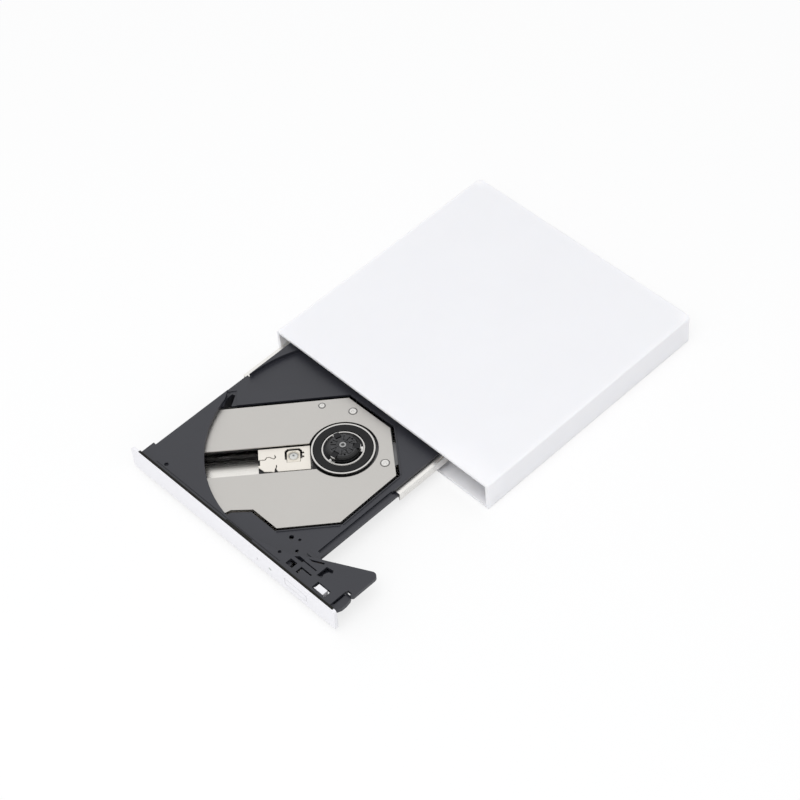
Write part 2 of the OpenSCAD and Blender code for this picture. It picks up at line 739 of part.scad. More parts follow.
module tray_bezel() color(white) in_tray() {
    mid_z = (bezel_low + bezel_high) / 2;
    difference() {
        translate([0, bezel_t, mid_z]) rotate([90, 0, 0])
            linear_extrude(bezel_t) round_rect(bezel_w, bezel_high - bezel_low, bezel_corner);
        box(button_x - button_w / 2 - button_gap, button_x + button_w / 2 + button_gap, -1, bezel_t + 1,
            button_z - button_h / 2 - button_gap, button_z + button_h / 2 + button_gap);
        for (p = [[led_x, led_r + 0.05], [pinhole_x, pinhole_r]]) translate([p[0], -1, button_z])
            rotate([-90, 0, 0]) cylinder(r = p[1], h = bezel_t + 2);
        box(tray_left - 1.6, 63.6, face_t, bezel_t + 1, deck_z + 0.1, bezel_high + 1);
    }
    // clip that shows in the deck's window
    box(48.9, 54, bezel_t - eps, 6.9, deck_under - 1.3, deck_under - 0.3);
    box(48.9, 54, 4, 6.9, deck_under - 0.4, deck_z - 0.3);
}

module led_window() color(white) in_tray() {
    translate([led_x, 0, button_z]) rotate([-90, 0, 0]) cylinder(r = led_r, h = bezel_t + 2.2);
}

module eject_button() color(white) in_tray() {
    box(button_x - button_w / 2, button_x + button_w / 2, 0, bezel_t + 0.4,
        button_z - button_h / 2, button_z + button_h / 2);
    box(button_x - button_w / 2 - 1, button_x + button_w / 2 + 1, bezel_t + 0.2, bezel_t + 0.8,
        button_z - button_h / 2 - 0.7, button_z + button_h / 2 + 0.7);
}

module tray_under_plate() color(steel) in_tray() {
    difference() {
        box(rail_mid - side_out, rail_mid + side_out, bezel_t + 0.4, tray_len - 1, under_z, under_top);
        for (p = tray_screw_at) post(p[0], p[1], 0.8 + screw_hole, 0, under_top + 1);
        box(ribbon_x - 0.5, ribbon_x + ribbon_w + 0.5, 114, 116, 0, under_top + 1);
        for (y = [100, 106]) box(-40, -8, y, y + 2, 0, under_top + 1);
    }
}

module tray_screws() color(steel) in_tray() {
    for (p = tray_screw_at) small_screw(p[0], p[1], under_z, 0.8, 1.5, 0.35, 4.4);
}

module tray_ribbon_socket() color(cream) in_tray() {
    difference() {
        box(ribbon_x - 1.2, ribbon_x + ribbon_w + 1.2, 113, 117.4, under_top, under_top + 2);
        box(ribbon_x - 0.2, ribbon_x + ribbon_w + 0.2, 114.6, 115.6, 0, under_top + 1.4);
    }
}

module switch_board() color(green) in_tray() {
    difference() {
        box(28.6, 58, 3.9, 6.7, 5.4, 6.4);
        post(35, 5.3, 0.6, 0, 10);
    }
}

module eject_switch() color(black) in_tray() {
    box(button_x - 3, button_x + 3, 4.4, 6.6, 6.4, 9.4);
    box(button_x - 0.9, button_x + 0.9, bezel_t + 2, 4.6, 7, 8.6);
}

module solenoid() color(brass) in_tray() {
    box(36.4, 42.6, 8.2, 12.6, 6.6, deck_under);
    bar(42.5, 44.1, 10.4, 8.8, 0.8);
}

// lever drawn hooked, with its tongue behind the post
module latch_shape() {
    hook_y = latch_post_at[1] - latch_pivot[1] + latch_r + 0.3;
    hook_x = latch_post_at[0] - latch_pivot[0];
    difference() {
        union() {
            cylinder(r = pivot_r + 1.3, h = 1);
            box(-1.3, 1.3, 0, hook_y + 1.6, 0, 1);
            box(-1.3, hook_x + 0.2, hook_y, hook_y + 1.6, 0, 1);
        }
        translate([0, 0, -1]) cylinder(r = pivot_r + 0.15, h = 3);
    }
}

module latch_lever() color(steel) in_tray() {
    translate([latch_pivot[0], latch_pivot[1], 6]) rotate(latch_open) latch_shape();
}

module latch_spring() color(steel) in_tray() {
    translate([latch_pivot[0], latch_pivot[1], 0]) ring(pivot_r + 0.1, pivot_r + 0.7, 7.2, 8.4);
    box(latch_pivot[0] + pivot_r + 0.2, latch_pivot[0] + pivot_r + 0.6, latch_pivot[1], 14, 7.8, 8.2);
}

module eject_pusher() color(white) in_case() {
    translate([pusher_x, pusher_tip, pusher_z]) rotate([-90, 0, 0]) {
        cylinder(r = pusher_r, h = 28);
        translate([0, 0, pusher_tabs[0] - pusher_tip + sheet_t + 3.2]) cylinder(r = 1.8, h = 0.8);
    }
}

module pusher_spring() color(steel) in_case() {
    y0 = pusher_tabs[0] + sheet_t + 4.1;
    translate([pusher_x, y0, pusher_z]) rotate([-90, 0, 0]) difference() {
        cylinder(r = pusher_r + 0.7, h = pusher_tabs[1] - 0.1 - y0);
        translate([0, 0, -1]) cylinder(r = pusher_r + 0.25, h = 30);
    }
}

// Drive unit

module shield_plate() color(grey) in_tray() {
    difference() {
        translate([0, 0, shield_under]) linear_extrude(sheet_t) intersection() {
            polygon(inset(window, -shield_gap));
            translate([spindle_x, recess_y]) circle(recess_r + 1);
        }
        translate([spindle_x, spindle_y, 0]) {
            post(0, 0, table_r + 1.4, 0, deck_z);
            rotate(180 + sled_angle) box(0, 70, slot_n0, slot_n1, 0, deck_z);
        }
        for (p = shield_screw_at) {
            post(p[0], p[1], 0.7 + screw_hole, 0, deck_z);
            translate([p[0], p[1], 0]) ring(p[2] - 0.45, p[2], shield_top - 0.3, deck_z);
        }
    }
}

module shield_screws() color(steel) in_tray() {
    for (p = shield_screw_at) {
        translate([p[0], p[1], shield_top]) cylinder(r1 = p[2] - 0.5, r2 = p[2] - 0.7, h = 0.3);
        post(p[0], p[1], 0.7, frame_top - 0.6, shield_top + eps);
    }
}

module frame_outline() {
    translate([spindle_x, spindle_y]) rotate(180 + sled_angle) {
        translate([-17, main_n - 5]) square([80, slot_n0 - main_n + 4.4]);
        translate([60, main_n - 2.2]) square([16, slot_n0 - main_n + 1.6]);
        translate([-17, slot_n1 + 0.6]) square([86, 4.6]);
        translate([-22, main_n - 5]) square([36.4, slot_n1 - main_n + 10.2]);
    }
    for (p = damper_at) translate(p) circle(4);
    // strip that shows between the plate and the window's right edges
    difference() {
        polygon(inset(window, -1.2));
        polygon(inset(window, -5));
        translate([-80, -20]) square([93, 130]);
    }
    polygon([[-38, 72], [-32, 79.6], [-6, 84], [-4, 76], [-16, 60]]);
    polygon([[20, 17.6], [28, 22], [26, 46], [14, 57], [3, 45], [8, 38]]);
    polygon([[20, 86], [27, 81], [22, 64], [4, 78]]);
}

// block under the frame that holds a rod's end
module lug(x, n, half) {
    box(x, x + 2.4, n - half, n + half, sled_low + 0.4, frame_under + eps);
}

module traverse_frame() color(steel) in_tray() {
    difference() {
        union() {
            translate([0, 0, frame_under]) linear_extrude(1) frame_outline();
            for (p = shield_screw_at) post(p[0], p[1], p[2] + 0.8, frame_under, shield_under);
            translate([spindle_x, spindle_y, 0]) {
                for (a = [40, 130, 310]) rotate(a) post(17.2, 0, 2, 5.2, frame_under + eps);
                rotate(180 + sled_angle) {
                    post(40, main_n, 1.5, frame_top - eps, shield_under);
                    post(36, slot_n1 + 3, 1.5, frame_top - eps, shield_under);
                    // lugs that hold the rods' ends
                    for (x = [12, 72.2]) lug(x, main_n, 2);
                    for (x = [14.2, 65.4]) lug(x, sub_n, 2);
                    lug(14, lead_n, 1.6);
                }
            }
        }
        for (p = damper_at) post(p[0], p[1], 2, 0, deck_z);
        for (p = shield_screw_at) post(p[0], p[1], 0.7 + screw_hole, frame_top - 0.8, deck_z);
        translate([spindle_x, spindle_y, 0]) {
            post(0, 0, 13.4, 0, deck_z);
            for (a = [40, 130, 310]) rotate(a) post(17.2, 0, 0.6 + screw_hole, 0, 8);
            rotate(180 + sled_angle) {
                box(14.2, 90, slot_n0 - 0.6, slot_n1 + 0.6, 0, deck_z);
                bar(12.5, 74.1, main_n, rod_z, rod_r + 0.05);
                bar(14.7, 67.3, sub_n, rod_z, rod_r + 0.05);
                bar(12, 20, lead_n, rod_z, screw_r + rod_gap);
            }
        }
    }
}

module dampers() color(black) in_tray() {
    for (p = damper_at) translate([p[0], p[1], 0]) difference() {
        union() {
            post(0, 0, 3, frame_top, recess_under);
            post(0, 0, 1.95, frame_under - 0.1, frame_top + eps);
            post(0, 0, 3, frame_under - 0.6, frame_under);
        }
        post(0, 0, 1.3, 0, deck_z);
    }
}

module traverse_screws() color(steel) in_tray() {
    for (p = damper_at) small_screw(p[0], p[1], frame_under - 0.6, 0.6, 2.6, 0.5, 1.6);
    translate([spindle_x, spindle_y, 0])
        for (a = [40, 130, 310]) rotate(a) small_screw(17.2, 0, 4.6, 0.6, 1.2, 0.4, 3);
}

module spindle_motor_base() color(steel) in_tray() translate([spindle_x, spindle_y, 0]) {
    difference() {
        union() {
            post(0, 0, 13, 4.6, 5.2);
            post(0, 0, 2.4, 4.6, table_top - 1.6);
            for (a = [40, 130, 310]) rotate(a) {
                box(10, 17.2, -2, 2, 4.6, 5.2);
                post(17.2, 0, 2, 4.6, 5.2);
            }
        }
        post(0, 0, 1 + 0.15, 4.9, deck_z);
        for (a = [40, 130, 310]) rotate(a) post(17.2, 0, 0.6 + screw_hole, 0, 8);
    }
}

module stator() color(brass) in_tray() translate([spindle_x, spindle_y, 0]) {
    ring(2.4, 4.6, 5.2, 8.6);
    for (a = [0 : 40 : 320]) rotate(a) {
        box(4.4, 9.6, -0.9, 0.9, 6.2, 8.2);
        box(9.4, 10.6, -2.2, 2.2, 6.2, 8.2);
    }
}

module guide_rod_main() color(steel) in_sled() {
    bar(12.6, 74, main_n, rod_z, rod_r);
}

module guide_rod_sub() color(steel) in_sled() {
    bar(14.8, 67.2, sub_n, rod_z, rod_r);
}

module lead_screw() color(steel) in_sled() {
    bar(14.6, 59.8, lead_n, rod_z, screw_r);
}

module sled_motor() color(steel) in_sled() {
    difference() {
        bar(59.4, 68.4, lead_n, rod_z, 1.6);
        bar(59, 60.2, lead_n, rod_z, screw_r + rod_gap);
    }
    box(60, 66, lead_n - 0.9, lead_n + 0.9, rod_z + 1, frame_under);
}

// Spindle

module turntable() color(steel) in_spindle() {
    difference() {
        union() {
            post(0, 0, table_r, table_top - 0.8, table_top);
            ring(mat_out + 0.1, table_r, table_top - 0.1, table_top + 0.2);
            ring(hub_r + 1.6, mat_in - 0.5, table_top - 0.1, mat_top);
            ring(11.5, 12.6, 5.8, table_top - 0.7);
        }
        ring(hub_r + 0.2, hub_r + 1.6, table_top - 0.4, deck_z);
        post(0, 0, 1, 0, deck_z);
    }
}

module turntable_mat() color(black) in_spindle() {
    ring(mat_in, mat_out, table_top, mat_top);
}

module hub_cap() color(charcoal) in_spindle() {
    difference() {
        union() {
            post(0, 0, hub_r + 0.4, table_top, mat_top - 0.1);
            post(0, 0, hub_r, table_top, mat_top + 1.15);
            post(0, 0, hub_r - 0.4, table_top, mat_top + 1.4);
            translate([0, 0, mat_top + 1.4 - eps])
                cylinder(r1 = hub_r - 0.4, r2 = hub_r - 1.2, h = hub_top - 0.4 - mat_top - 1.4);
        }
        post(0, 0, boss_r + 0.05, table_top - 1, deck_z + 2);
        // pockets of the pawls
        for (a = [40, 160, 280]) rotate(a)
            box(hub_r - 3, hub_r + 1, -pawl_w / 2 - 0.15, pawl_w / 2 + 0.15, mat_top + 1.2, hub_top);
        // radial slits and small holes in the top
        for (a = [0 : 120 : 240], b = [70, 100, 130]) rotate(a + b)
            box(3, 5.6, -0.25, 0.25, hub_top - 0.9, hub_top);
        for (a = [0 : 120 : 240]) rotate(a + 85) post(5.4, 0, 0.5, hub_top - 1.6, hub_top);
    }
}

module spindle_shaft() color(steel) in_spindle() {
    post(0, 0, 1, 5, table_top + eps);
    difference() {
        post(0, 0, boss_r, table_top, hub_top);
        post(0, 0, boss_r - 0.7, hub_top - 0.5, hub_top + 1);
    }
}

module pawl(a) {
    rotate(a) intersection() {
        box(hub_r - 2.3, hub_r + pawl_out, -pawl_w / 2, pawl_w / 2, mat_top + 1.25, mat_top + 2.05);
        translate([hub_r + pawl_out - 3, 0, 0]) post(0, 0, 3, 0, deck_z + 2);
    }
}

module chuck_pawl_1() color(cream) in_spindle() pawl(40);

module chuck_pawl_2() color(cream) in_spindle() pawl(160);

module chuck_pawl_3() color(cream) in_spindle() pawl(280);

// Pickup

module pickup_base() color(grey) in_sled() {
    n0 = slot_n0 + pickup_gap;
    n1 = slot_n1 - pickup_gap - 1.2;
    s1 = pickup_s + pickup_len;
    difference() {
        union() {
            box(pickup_s, s1, n0, n1, sled_low, frame_top - sheet_t);
            for (x = [pickup_s + 1.4, s1 - 5.4])
                box(x, x + 4, main_n - 2, n0 + eps, rod_z - 2, frame_under - 0.4);
            box(pickup_s + 5, pickup_s + 10, n1 - eps, sub_n + 2, rod_z - 2, frame_under - 0.4);
            // arm to the nut, under the main rod
            box(nut_s, nut_s + 3, lead_n - 1.2, n0 + eps, sled_low, rod_z - rod_r - 0.3);
        }
        bar(pickup_s - 1, s1 + 1, main_n, rod_z, rod_r + rod_gap);
        box(pickup_s - 1, s1 + 1, sub_n - rod_r - rod_gap, sub_n + 5, rod_z - rod_r - rod_gap,
            rod_z + rod_r + rod_gap);
        // well of the lens actuator
        box(lens_s - 5, lens_s + 5, -4.2, 5.4, sled_low + 0.8, frame_top);
        box(s1 - 9, s1 - 2, n0 + 2, n1 - 2, rod_z + 1, frame_top);
    }
}

module pickup_cover() color(cream) in_sled() {
    n0 = slot_n0 + pickup_gap;
    n1 = slot_n1 - pickup_gap - 1.2;
    s1 = pickup_s + pickup_len;
    difference() {
        box(pickup_s, s1, n0, n1, frame_top - sheet_t, frame_top);
        translate([lens_s, 0, 0]) linear_extrude(deck_z) polygon([
            [-3.9, 2], [-3.9, -2.8], [-2.6, -4.1], [2.6, -4.1], [3.9, -2.8], [3.9, 2], [3.15, 2], [3.15, 3.7],
            [-3.15, 3.7], [-3.15, 2]
        ]);
        // catches beside the lens window
        for (n = [-1.9, 0.3]) box(lens_s - 4.8, lens_s - 3.8, n, n + 1.1, 0, deck_z);
        // bent slit of the far half, and the nick in its edge
        translate([s1, 0, 0]) linear_extrude(deck_z) {
            polygon([
                [1, 0.85], [-2.8, 0.9], [-3.65, -0.42], [-4.85, -0.48], [-6.85, 0.65], [-7.4, 0.05],
                [-7, -1.1], [-7.45, -1.2], [-7.95, 0.15], [-7, 1.3], [-4.7, 0], [-3.9, 0.05], [-3.05, 1.4],
                [-0.7, 1.4], [-0.7, 4.2], [1, 4.2]
            ]);
            polygon([
                [-7.6, n1 - 3.8], [-8.05, n1 - 3.8], [-8.2, n1 - 2.8], [-7.8, n1 - 1.5], [-9.2, n1 + 1],
                [-6.8, n1 + 1], [-7.1, n1 - 1.5], [-7.7, n1 - 2.8]
            ]);
        }
        // cut corner
        translate([0, 0, frame_top - 1]) linear_extrude(2) polygon([
            [s1 + 1, n1 - 4.2], [s1 - 2.6, n1 - 0.5], [s1 - 6, n1 - 0.2], [s1 - 6, n1 + 1], [s1 + 1, n1 + 1]
        ]);
    }
}

module screw_nut() color(white) in_sled() {
    difference() {
        box(nut_s, nut_s + 3, lead_n - 1.8, lead_n + 1.8, rod_z - rod_r - 0.3, rod_z + 1.6);
        bar(pickup_s, nut_s + 6, lead_n, rod_z, screw_r + rod_gap);
    }
}

module actuator_yoke() color(steel) in_sled() {
    box(lens_s - 4.6, lens_s + 4.6, -4, 5.2, sled_low + 0.8, sled_low + 1.3);
    for (x = [-4.6, 4.1]) box(lens_s + x, lens_s + x + 0.5, -3, 3, sled_low + 1.2, frame_top - 0.9);
}

module lens_holder() color(cream) in_sled() {
    translate([lens_s, 0, 0]) difference() {
        translate([0, 0, sled_low + 1.9]) linear_extrude(frame_top - sled_low - 2.1) polygon([
            [-2.9, 3.45], [-2.9, -2.1], [-2, -3], [2, -3], [2.9, -2.1], [2.9, 3.45]
        ]);
        post(0, 0, lens_r + 0.05, 0, deck_z);
        // groove round the lens
        ring(lens_r + 0.25, lens_r + 0.45, frame_top - 0.6, deck_z);
    }
}

module objective_lens() color([0.7, 0.75, 0.85]) in_sled() {
    translate([lens_s, 0, 0]) {
        post(0, 0, lens_r, frame_top - 1.4, frame_top - 0.6);
        dome(0, 0, frame_top - 0.6 - eps, lens_r - 0.2, 0.7);
    }
}

// Node to draw

top_cover();
bottom_cover();
rubber_feet();
case_screws();
chassis_pan();
chassis_lid();
chassis_screws();
left_guide();
right_guide();
latch_post();
main_board();
board_chips();
board_screws();
ribbon_socket();
usb_socket();
usb_tongue();
ribbon_cable();
left_rail();
right_rail();
tray();
tray_bezel();
led_window();
eject_button();
tray_under_plate();
tray_screws();
tray_ribbon_socket();
switch_board();
eject_switch();
solenoid();
latch_lever();
latch_spring();
eject_pusher();
pusher_spring();
shield_plate();
shield_screws();
traverse_frame();
dampers();
traverse_screws();
spindle_motor_base();
stator();
guide_rod_main();
guide_rod_sub();
lead_screw();
sled_motor();
turntable();
turntable_mat();
hub_cap();
spindle_shaft();
chuck_pawl_1();
chuck_pawl_2();
chuck_pawl_3();
pickup_base();
pickup_cover();
screw_nut();
actuator_yoke();
lens_holder();
objective_lens();
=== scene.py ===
import math
import random

import bmesh
import bpy
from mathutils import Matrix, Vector


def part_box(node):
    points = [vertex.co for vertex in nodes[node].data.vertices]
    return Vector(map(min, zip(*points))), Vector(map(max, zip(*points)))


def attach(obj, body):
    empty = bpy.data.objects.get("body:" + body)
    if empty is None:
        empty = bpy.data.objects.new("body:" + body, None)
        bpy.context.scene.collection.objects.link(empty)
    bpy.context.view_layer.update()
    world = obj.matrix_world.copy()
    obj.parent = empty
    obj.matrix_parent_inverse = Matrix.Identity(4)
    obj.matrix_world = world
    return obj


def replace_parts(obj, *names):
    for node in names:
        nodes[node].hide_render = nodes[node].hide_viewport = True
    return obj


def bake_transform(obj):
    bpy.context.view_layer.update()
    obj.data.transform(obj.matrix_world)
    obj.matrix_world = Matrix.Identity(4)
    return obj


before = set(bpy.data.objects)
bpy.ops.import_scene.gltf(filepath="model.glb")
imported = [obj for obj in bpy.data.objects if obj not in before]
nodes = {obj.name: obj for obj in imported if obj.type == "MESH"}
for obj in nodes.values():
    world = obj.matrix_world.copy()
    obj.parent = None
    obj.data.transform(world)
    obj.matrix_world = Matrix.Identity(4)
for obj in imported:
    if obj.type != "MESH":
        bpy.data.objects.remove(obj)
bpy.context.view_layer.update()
scene = bpy.context.scene
mm = 0.001

# places read from the solids, in metres
tableLow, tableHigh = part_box("turntable")
spindle = Vector(((tableLow.x + tableHigh.x) / 2, (tableLow.y + tableHigh.y) / 2, 0))
sledAngle = 49  # the pickup's path, in degrees from the width
sledTurn = math.radians(180 + sledAngle)
alongSled = Vector((math.cos(sledTurn), math.sin(sledTurn), 0))
acrossSled = Vector((-math.sin(sledTurn), math.cos(sledTurn), 0))


def onSled(s, n, z):
    return spindle + alongSled * s * mm + acrossSled * n * mm + Vector((0, 0, z * mm))


# camera, light and floor

cameraSet = {
    "place": (0.514232, -0.451789, 0.810728),
    "turn": (0.70059, 0.058628, 0.790772),
    "lens": 105.28,
    "sensor": 36,
    "clip": (0.05, 30),
}
lightSet = {
    "sky": 0.74,
    "skyTint": (0.985, 0.99, 1, 1),
    "lamps": [
        # name, place, aim, size, watts
        ("softAbove", (0.2, -0.42, 1.2), (0, 0, 0), 0.9, 6.4),
        ("softFront", (0.1, -1.3, 0.4), (0, 0, 0), 0.7, 0.9),
    ],
}
# half its width in metres, how far below the feet in mm, the share of its own shading, its colour
floorSet = {"half": 6.0, "below": 0.02, "own": 0.26, "colour": (0.92, 0.92, 0.92, 1)}


def studioCamera():
    data = bpy.data.cameras.new("studioCamera")
    data.lens = cameraSet["lens"]
    data.sensor_width = cameraSet["sensor"]
    data.clip_start, data.clip_end = cameraSet["clip"]
    camera = bpy.data.objects.new("studioCamera", data)
    camera.location = cameraSet["place"]
    camera.rotation_euler = cameraSet["turn"]
    scene.collection.objects.link(camera)
    scene.camera = camera


def areaLamp(name, place, aim, size, watts):
    data = bpy.data.lights.new(name, "AREA")
    data.shape = "SQUARE"
    data.size = size
    data.energy = watts
    lamp = bpy.data.objects.new(name, data)
    lamp.location = place
    lamp.rotation_euler = (Vector(aim) - Vector(place)).to_track_quat("-Z", "Y").to_euler()
    lamp.visible_glossy = False  # no square glare on the steel seen from above
    scene.collection.objects.link(lamp)


def seenDirectly(tree, others=("Is Glossy Ray", "Is Transmission Ray")):
    # 1 for camera, mirror and glass rays, 0 for the light that the object gets
    path = tree.nodes.new("ShaderNodeLightPath")
    total = path.outputs["Is Camera Ray"]
    for name in others:
        add = tree.nodes.new("ShaderNodeMath")
        add.operation = "ADD"
        add.use_clamp = True
        tree.links.new(total, add.inputs[0])
        tree.links.new(path.outputs[name], add.inputs[1])
        total = add.outputs[0]
    return total


def studioWorld():
    world = bpy.data.worlds.new("studio")
    world.use_nodes = True
    tree = world.node_tree
    tree.nodes.clear()
    shown = tree.nodes.new("ShaderNodeBackground")
    shown.inputs["Color"].default_value = (1, 1, 1, 1)
    light = tree.nodes.new("ShaderNodeBackground")
    light.inputs["Color"].default_value = lightSet["skyTint"]
    light.inputs["Strength"].default_value = lightSet["sky"]
    mix = tree.nodes.new("ShaderNodeMixShader")
    out = tree.nodes.new("ShaderNodeOutputWorld")
    tree.links.new(seenDirectly(tree), mix.inputs[0])
    tree.links.new(light.outputs[0], mix.inputs[1])
    tree.links.new(shown.outputs[0], mix.inputs[2])
    tree.links.new(mix.outputs[0], out.inputs[0])
    scene.world = world


def studioFloor():
    r = floorSet["half"]
    mesh = bpy.data.meshes.new("studioFloor")
    mesh.from_pydata([(-r, -r, 0), (r, -r, 0), (r, r, 0), (-r, r, 0)], [], [(0, 1, 2, 3)])
    floor = bpy.data.objects.new("studioFloor", mesh)
    floor.location.z = -floorSet["below"] * mm
    scene.collection.objects.link(floor)
    mat = bpy.data.materials.new("paleFloor")
    mat.use_nodes = True
    tree = mat.node_tree
    tree.nodes.clear()
    own = tree.nodes.new("ShaderNodeBsdfDiffuse")
    own.inputs["Color"].default_value = floorSet["colour"]
    white = tree.nodes.new("ShaderNodeEmission")
    part = tree.nodes.new("ShaderNodeMath")
    part.operation = "MULTIPLY"
    part.inputs[1].default_value = 1 - floorSet["own"]
    mix = tree.nodes.new("ShaderNodeMixShader")
    out = tree.nodes.new("ShaderNodeOutputMaterial")
    tree.links.new(seenDirectly(tree, ()), part.inputs[0])
    tree.links.new(part.outputs[0], mix.inputs[0])
    tree.links.new(own.outputs[0], mix.inputs[1])
    tree.links.new(white.outputs[0], mix.inputs[2])
    tree.links.new(mix.outputs[0], out.inputs[0])
    mesh.materials.append(mat)


studioCamera()
for lampValues in lightSet["lamps"]:
    areaLamp(*lampValues)
studioWorld()
studioFloor()
scene.view_settings.view_transform = "Standard"
print("studio ready")


# finishes

class Finish:
    # one material: its shader and the few texture nodes that the finishes share
    def __init__(self, name):
        self.mat = bpy.data.materials.new(name)
        self.mat.use_nodes = True
        self.tree = self.mat.node_tree
        self.shader = self.tree.nodes["Principled BSDF"]
        self.where = self.tree.nodes.new("ShaderNodeTexCoord").outputs["Object"]

    def node(self, kind, **values):
        made = self.tree.nodes.new(kind)
        for key, value in values.items():
            setattr(made, key, value)
        return made

    def link(self, a, b):
        self.tree.links.new(a, b)

    def noise(self, scale, detail=2, where=None):
        made = self.node("ShaderNodeTexNoise")
        made.inputs["Scale"].default_value = scale
        made.inputs["Detail"].default_value = detail
        self.link(where or self.where, made.inputs["Vector"])
        return made.outputs["Fac"]

    def drawn(self, turn, across=5200, along=60):
        # lines drawn along one way of the sheet: turn first, then stretch
        spin = self.node("ShaderNodeVectorRotate", rotation_type="Z_AXIS")
        spin.inputs["Angle"].default_value = -turn
        self.link(self.where, spin.inputs["Vector"])
        place = self.node("ShaderNodeMapping")
        place.inputs["Scale"].default_value = (along, across, across)
        self.link(spin.outputs[0], place.inputs["Vector"])
        return self.noise(1, 3, place.outputs[0])

    def fromAxis(self, axis, reach):
        # distance from an upright axis, 1 at the reach
        move = self.node("ShaderNodeVectorMath", operation="SUBTRACT")
        move.inputs[1].default_value = (axis.x, axis.y, 0)
        flat = self.node("ShaderNodeVectorMath", operation="MULTIPLY")
        flat.inputs[1].default_value = (1 / reach, 1 / reach, 0)
        size = self.node("ShaderNodeVectorMath", operation="LENGTH")
        self.link(self.where, move.inputs[0])
        self.link(move.outputs[0], flat.inputs[0])
        self.link(flat.outputs[0], size.inputs[0])
        return size.outputs["Value"]

    def ramp(self, value, stops, hard=False):
        made = self.node("ShaderNodeValToRGB")
        if hard:
            made.color_ramp.interpolation = "CONSTANT"
        points = made.color_ramp.elements
        while len(points) < len(stops):
            points.new(0.5)
        for point, (at, colour) in zip(points, stops):
            point.position = at
            point.color = (*colour[:3], 1)
        self.link(value, made.inputs[0])
        return made.outputs[0]

    def span(self, value, low, high):
        made = self.node("ShaderNodeMapRange")
        made.inputs["To Min"].default_value = low
        made.inputs["To Max"].default_value = high
        self.link(value, made.inputs["Value"])
        return made.outputs[0]

    def times(self, a, b):
        # the mix node's colours come in at 6 and 7 and leave at 2
        made = self.node("ShaderNodeMix", data_type="RGBA", blend_type="MULTIPLY")
        made.inputs[0].default_value = 1
        self.link(a, made.inputs[6])
        self.link(b, made.inputs[7])
        return made.outputs[2]

    def bump(self, value, depth, strength=1, below=None):
        made = self.node("ShaderNodeBump")
        made.inputs["Strength"].default_value = strength
        made.inputs["Distance"].default_value = depth
        self.link(value, made.inputs["Height"])
        if below is not None:
            self.link(below, made.inputs["Normal"])
        return made.outputs[0]

    def edge(self, radius):
        made = self.node("ShaderNodeBevel", samples=4)
        made.inputs["Radius"].default_value = radius
        return made.outputs[0]

    def set(self, **values):
        for key, value in values.items():
            self.shader.inputs[key.replace("_", " ")].default_value = value

    def feed(self, socket, output):
        self.link(output, self.shader.inputs[socket])


def shade(colour, k):
    return tuple(min(1, c * k) for c in colour)


def cloudy(f, colour, vary, scale=35):
    return f.ramp(f.noise(scale, 3), [(0.3, shade(colour, 1 - vary)), (0.7, shade(colour, 1 + vary))])


plasticSet = {"swing": 0.07, "bump": 0.6, "glowTint": (1, 0.92, 0.85), "glowReach": 4}


def mouldedPlastic(name, colour, rough, grain, depth, edge, vary, index=1.5, glow=0.0):
    # fine spark-eroded grain, and a faint cloud in the colour; sizes in mm
    f = Finish(name)
    speck = f.noise(1000 / grain, 3)
    f.feed("Base Color", cloudy(f, colour, vary))
    f.feed("Roughness", f.span(speck, rough - plasticSet["swing"], rough + plasticSet["swing"]))
    f.feed("Normal", f.bump(speck, depth * mm, plasticSet["bump"], f.edge(edge * mm)))
    f.set(IOR=index)
    if glow:  # thin white walls let a little light through
        f.set(Subsurface_Weight=glow, Subsurface_Radius=plasticSet["glowTint"],
              Subsurface_Scale=plasticSet["glowReach"] * mm)
    return f.mat


sheetSet = {"cloud": 45, "bump": 0.4, "depth": 0.003, "edge": 0.08}


def sheetMetal(name, colour, rough, turn=0.0, brush=0.08, depth=sheetSet["depth"],
               edge=sheetSet["edge"], vary=0.04):
    # rolled sheet: drawn lines one way, slow changes in its sheen
    f = Finish(name)
    lines = f.drawn(turn)
    f.feed("Base Color", cloudy(f, colour, vary, sheetSet["cloud"]))
    f.feed("Roughness", f.span(lines, rough - brush, rough + brush))
    f.feed("Normal", f.bump(lines, depth * mm, sheetSet["bump"], f.edge(edge * mm)))
    f.set(Metallic=1.0)
    return f.mat


turnedSet = {"reach": 20, "rings": 160, "dim": (0.85, 0.85, 0.85), "edge": 0.08}


def turnedMetal(name, stops, rough):
    # turned on the spindle: rings of tone from the axis outwards, in mm
    f = Finish(name)
    reach = turnedSet["reach"]
    out = f.fromAxis(spindle, reach * mm)
    rings = f.node("ShaderNodeTexNoise", noise_dimensions="1D")
    rings.inputs["Scale"].default_value = turnedSet["rings"]
    f.link(out, rings.inputs["W"])
    lines = rings.outputs["Fac"]
    tone = f.ramp(out, [(r / reach, colour) for r, colour in stops], True)
    f.feed("Base Color", f.times(tone, f.ramp(lines, [(0.2, turnedSet["dim"]), (0.8, (1, 1, 1))])))
    f.feed("Roughness", f.span(lines, rough - 0.08, rough + 0.1))
    f.feed("Normal", f.edge(turnedSet["edge"] * mm))
    f.set(Metallic=1.0)
    return f.mat


# reach in mm, where the top turns into the slope as a share of it, and the two tones; the slope's darker
# tone is painted shade
hubSet = {"reach": 8, "shoulder": (0.76, 0.79), "top": (0.04, 0.04, 0.043), "shadedSlope": (0.007, 0.007, 0.0075),
          "worn": (0.55, 0.55, 0.55), "depth": 0.004, "edge": 0.15, "index": 1.48}


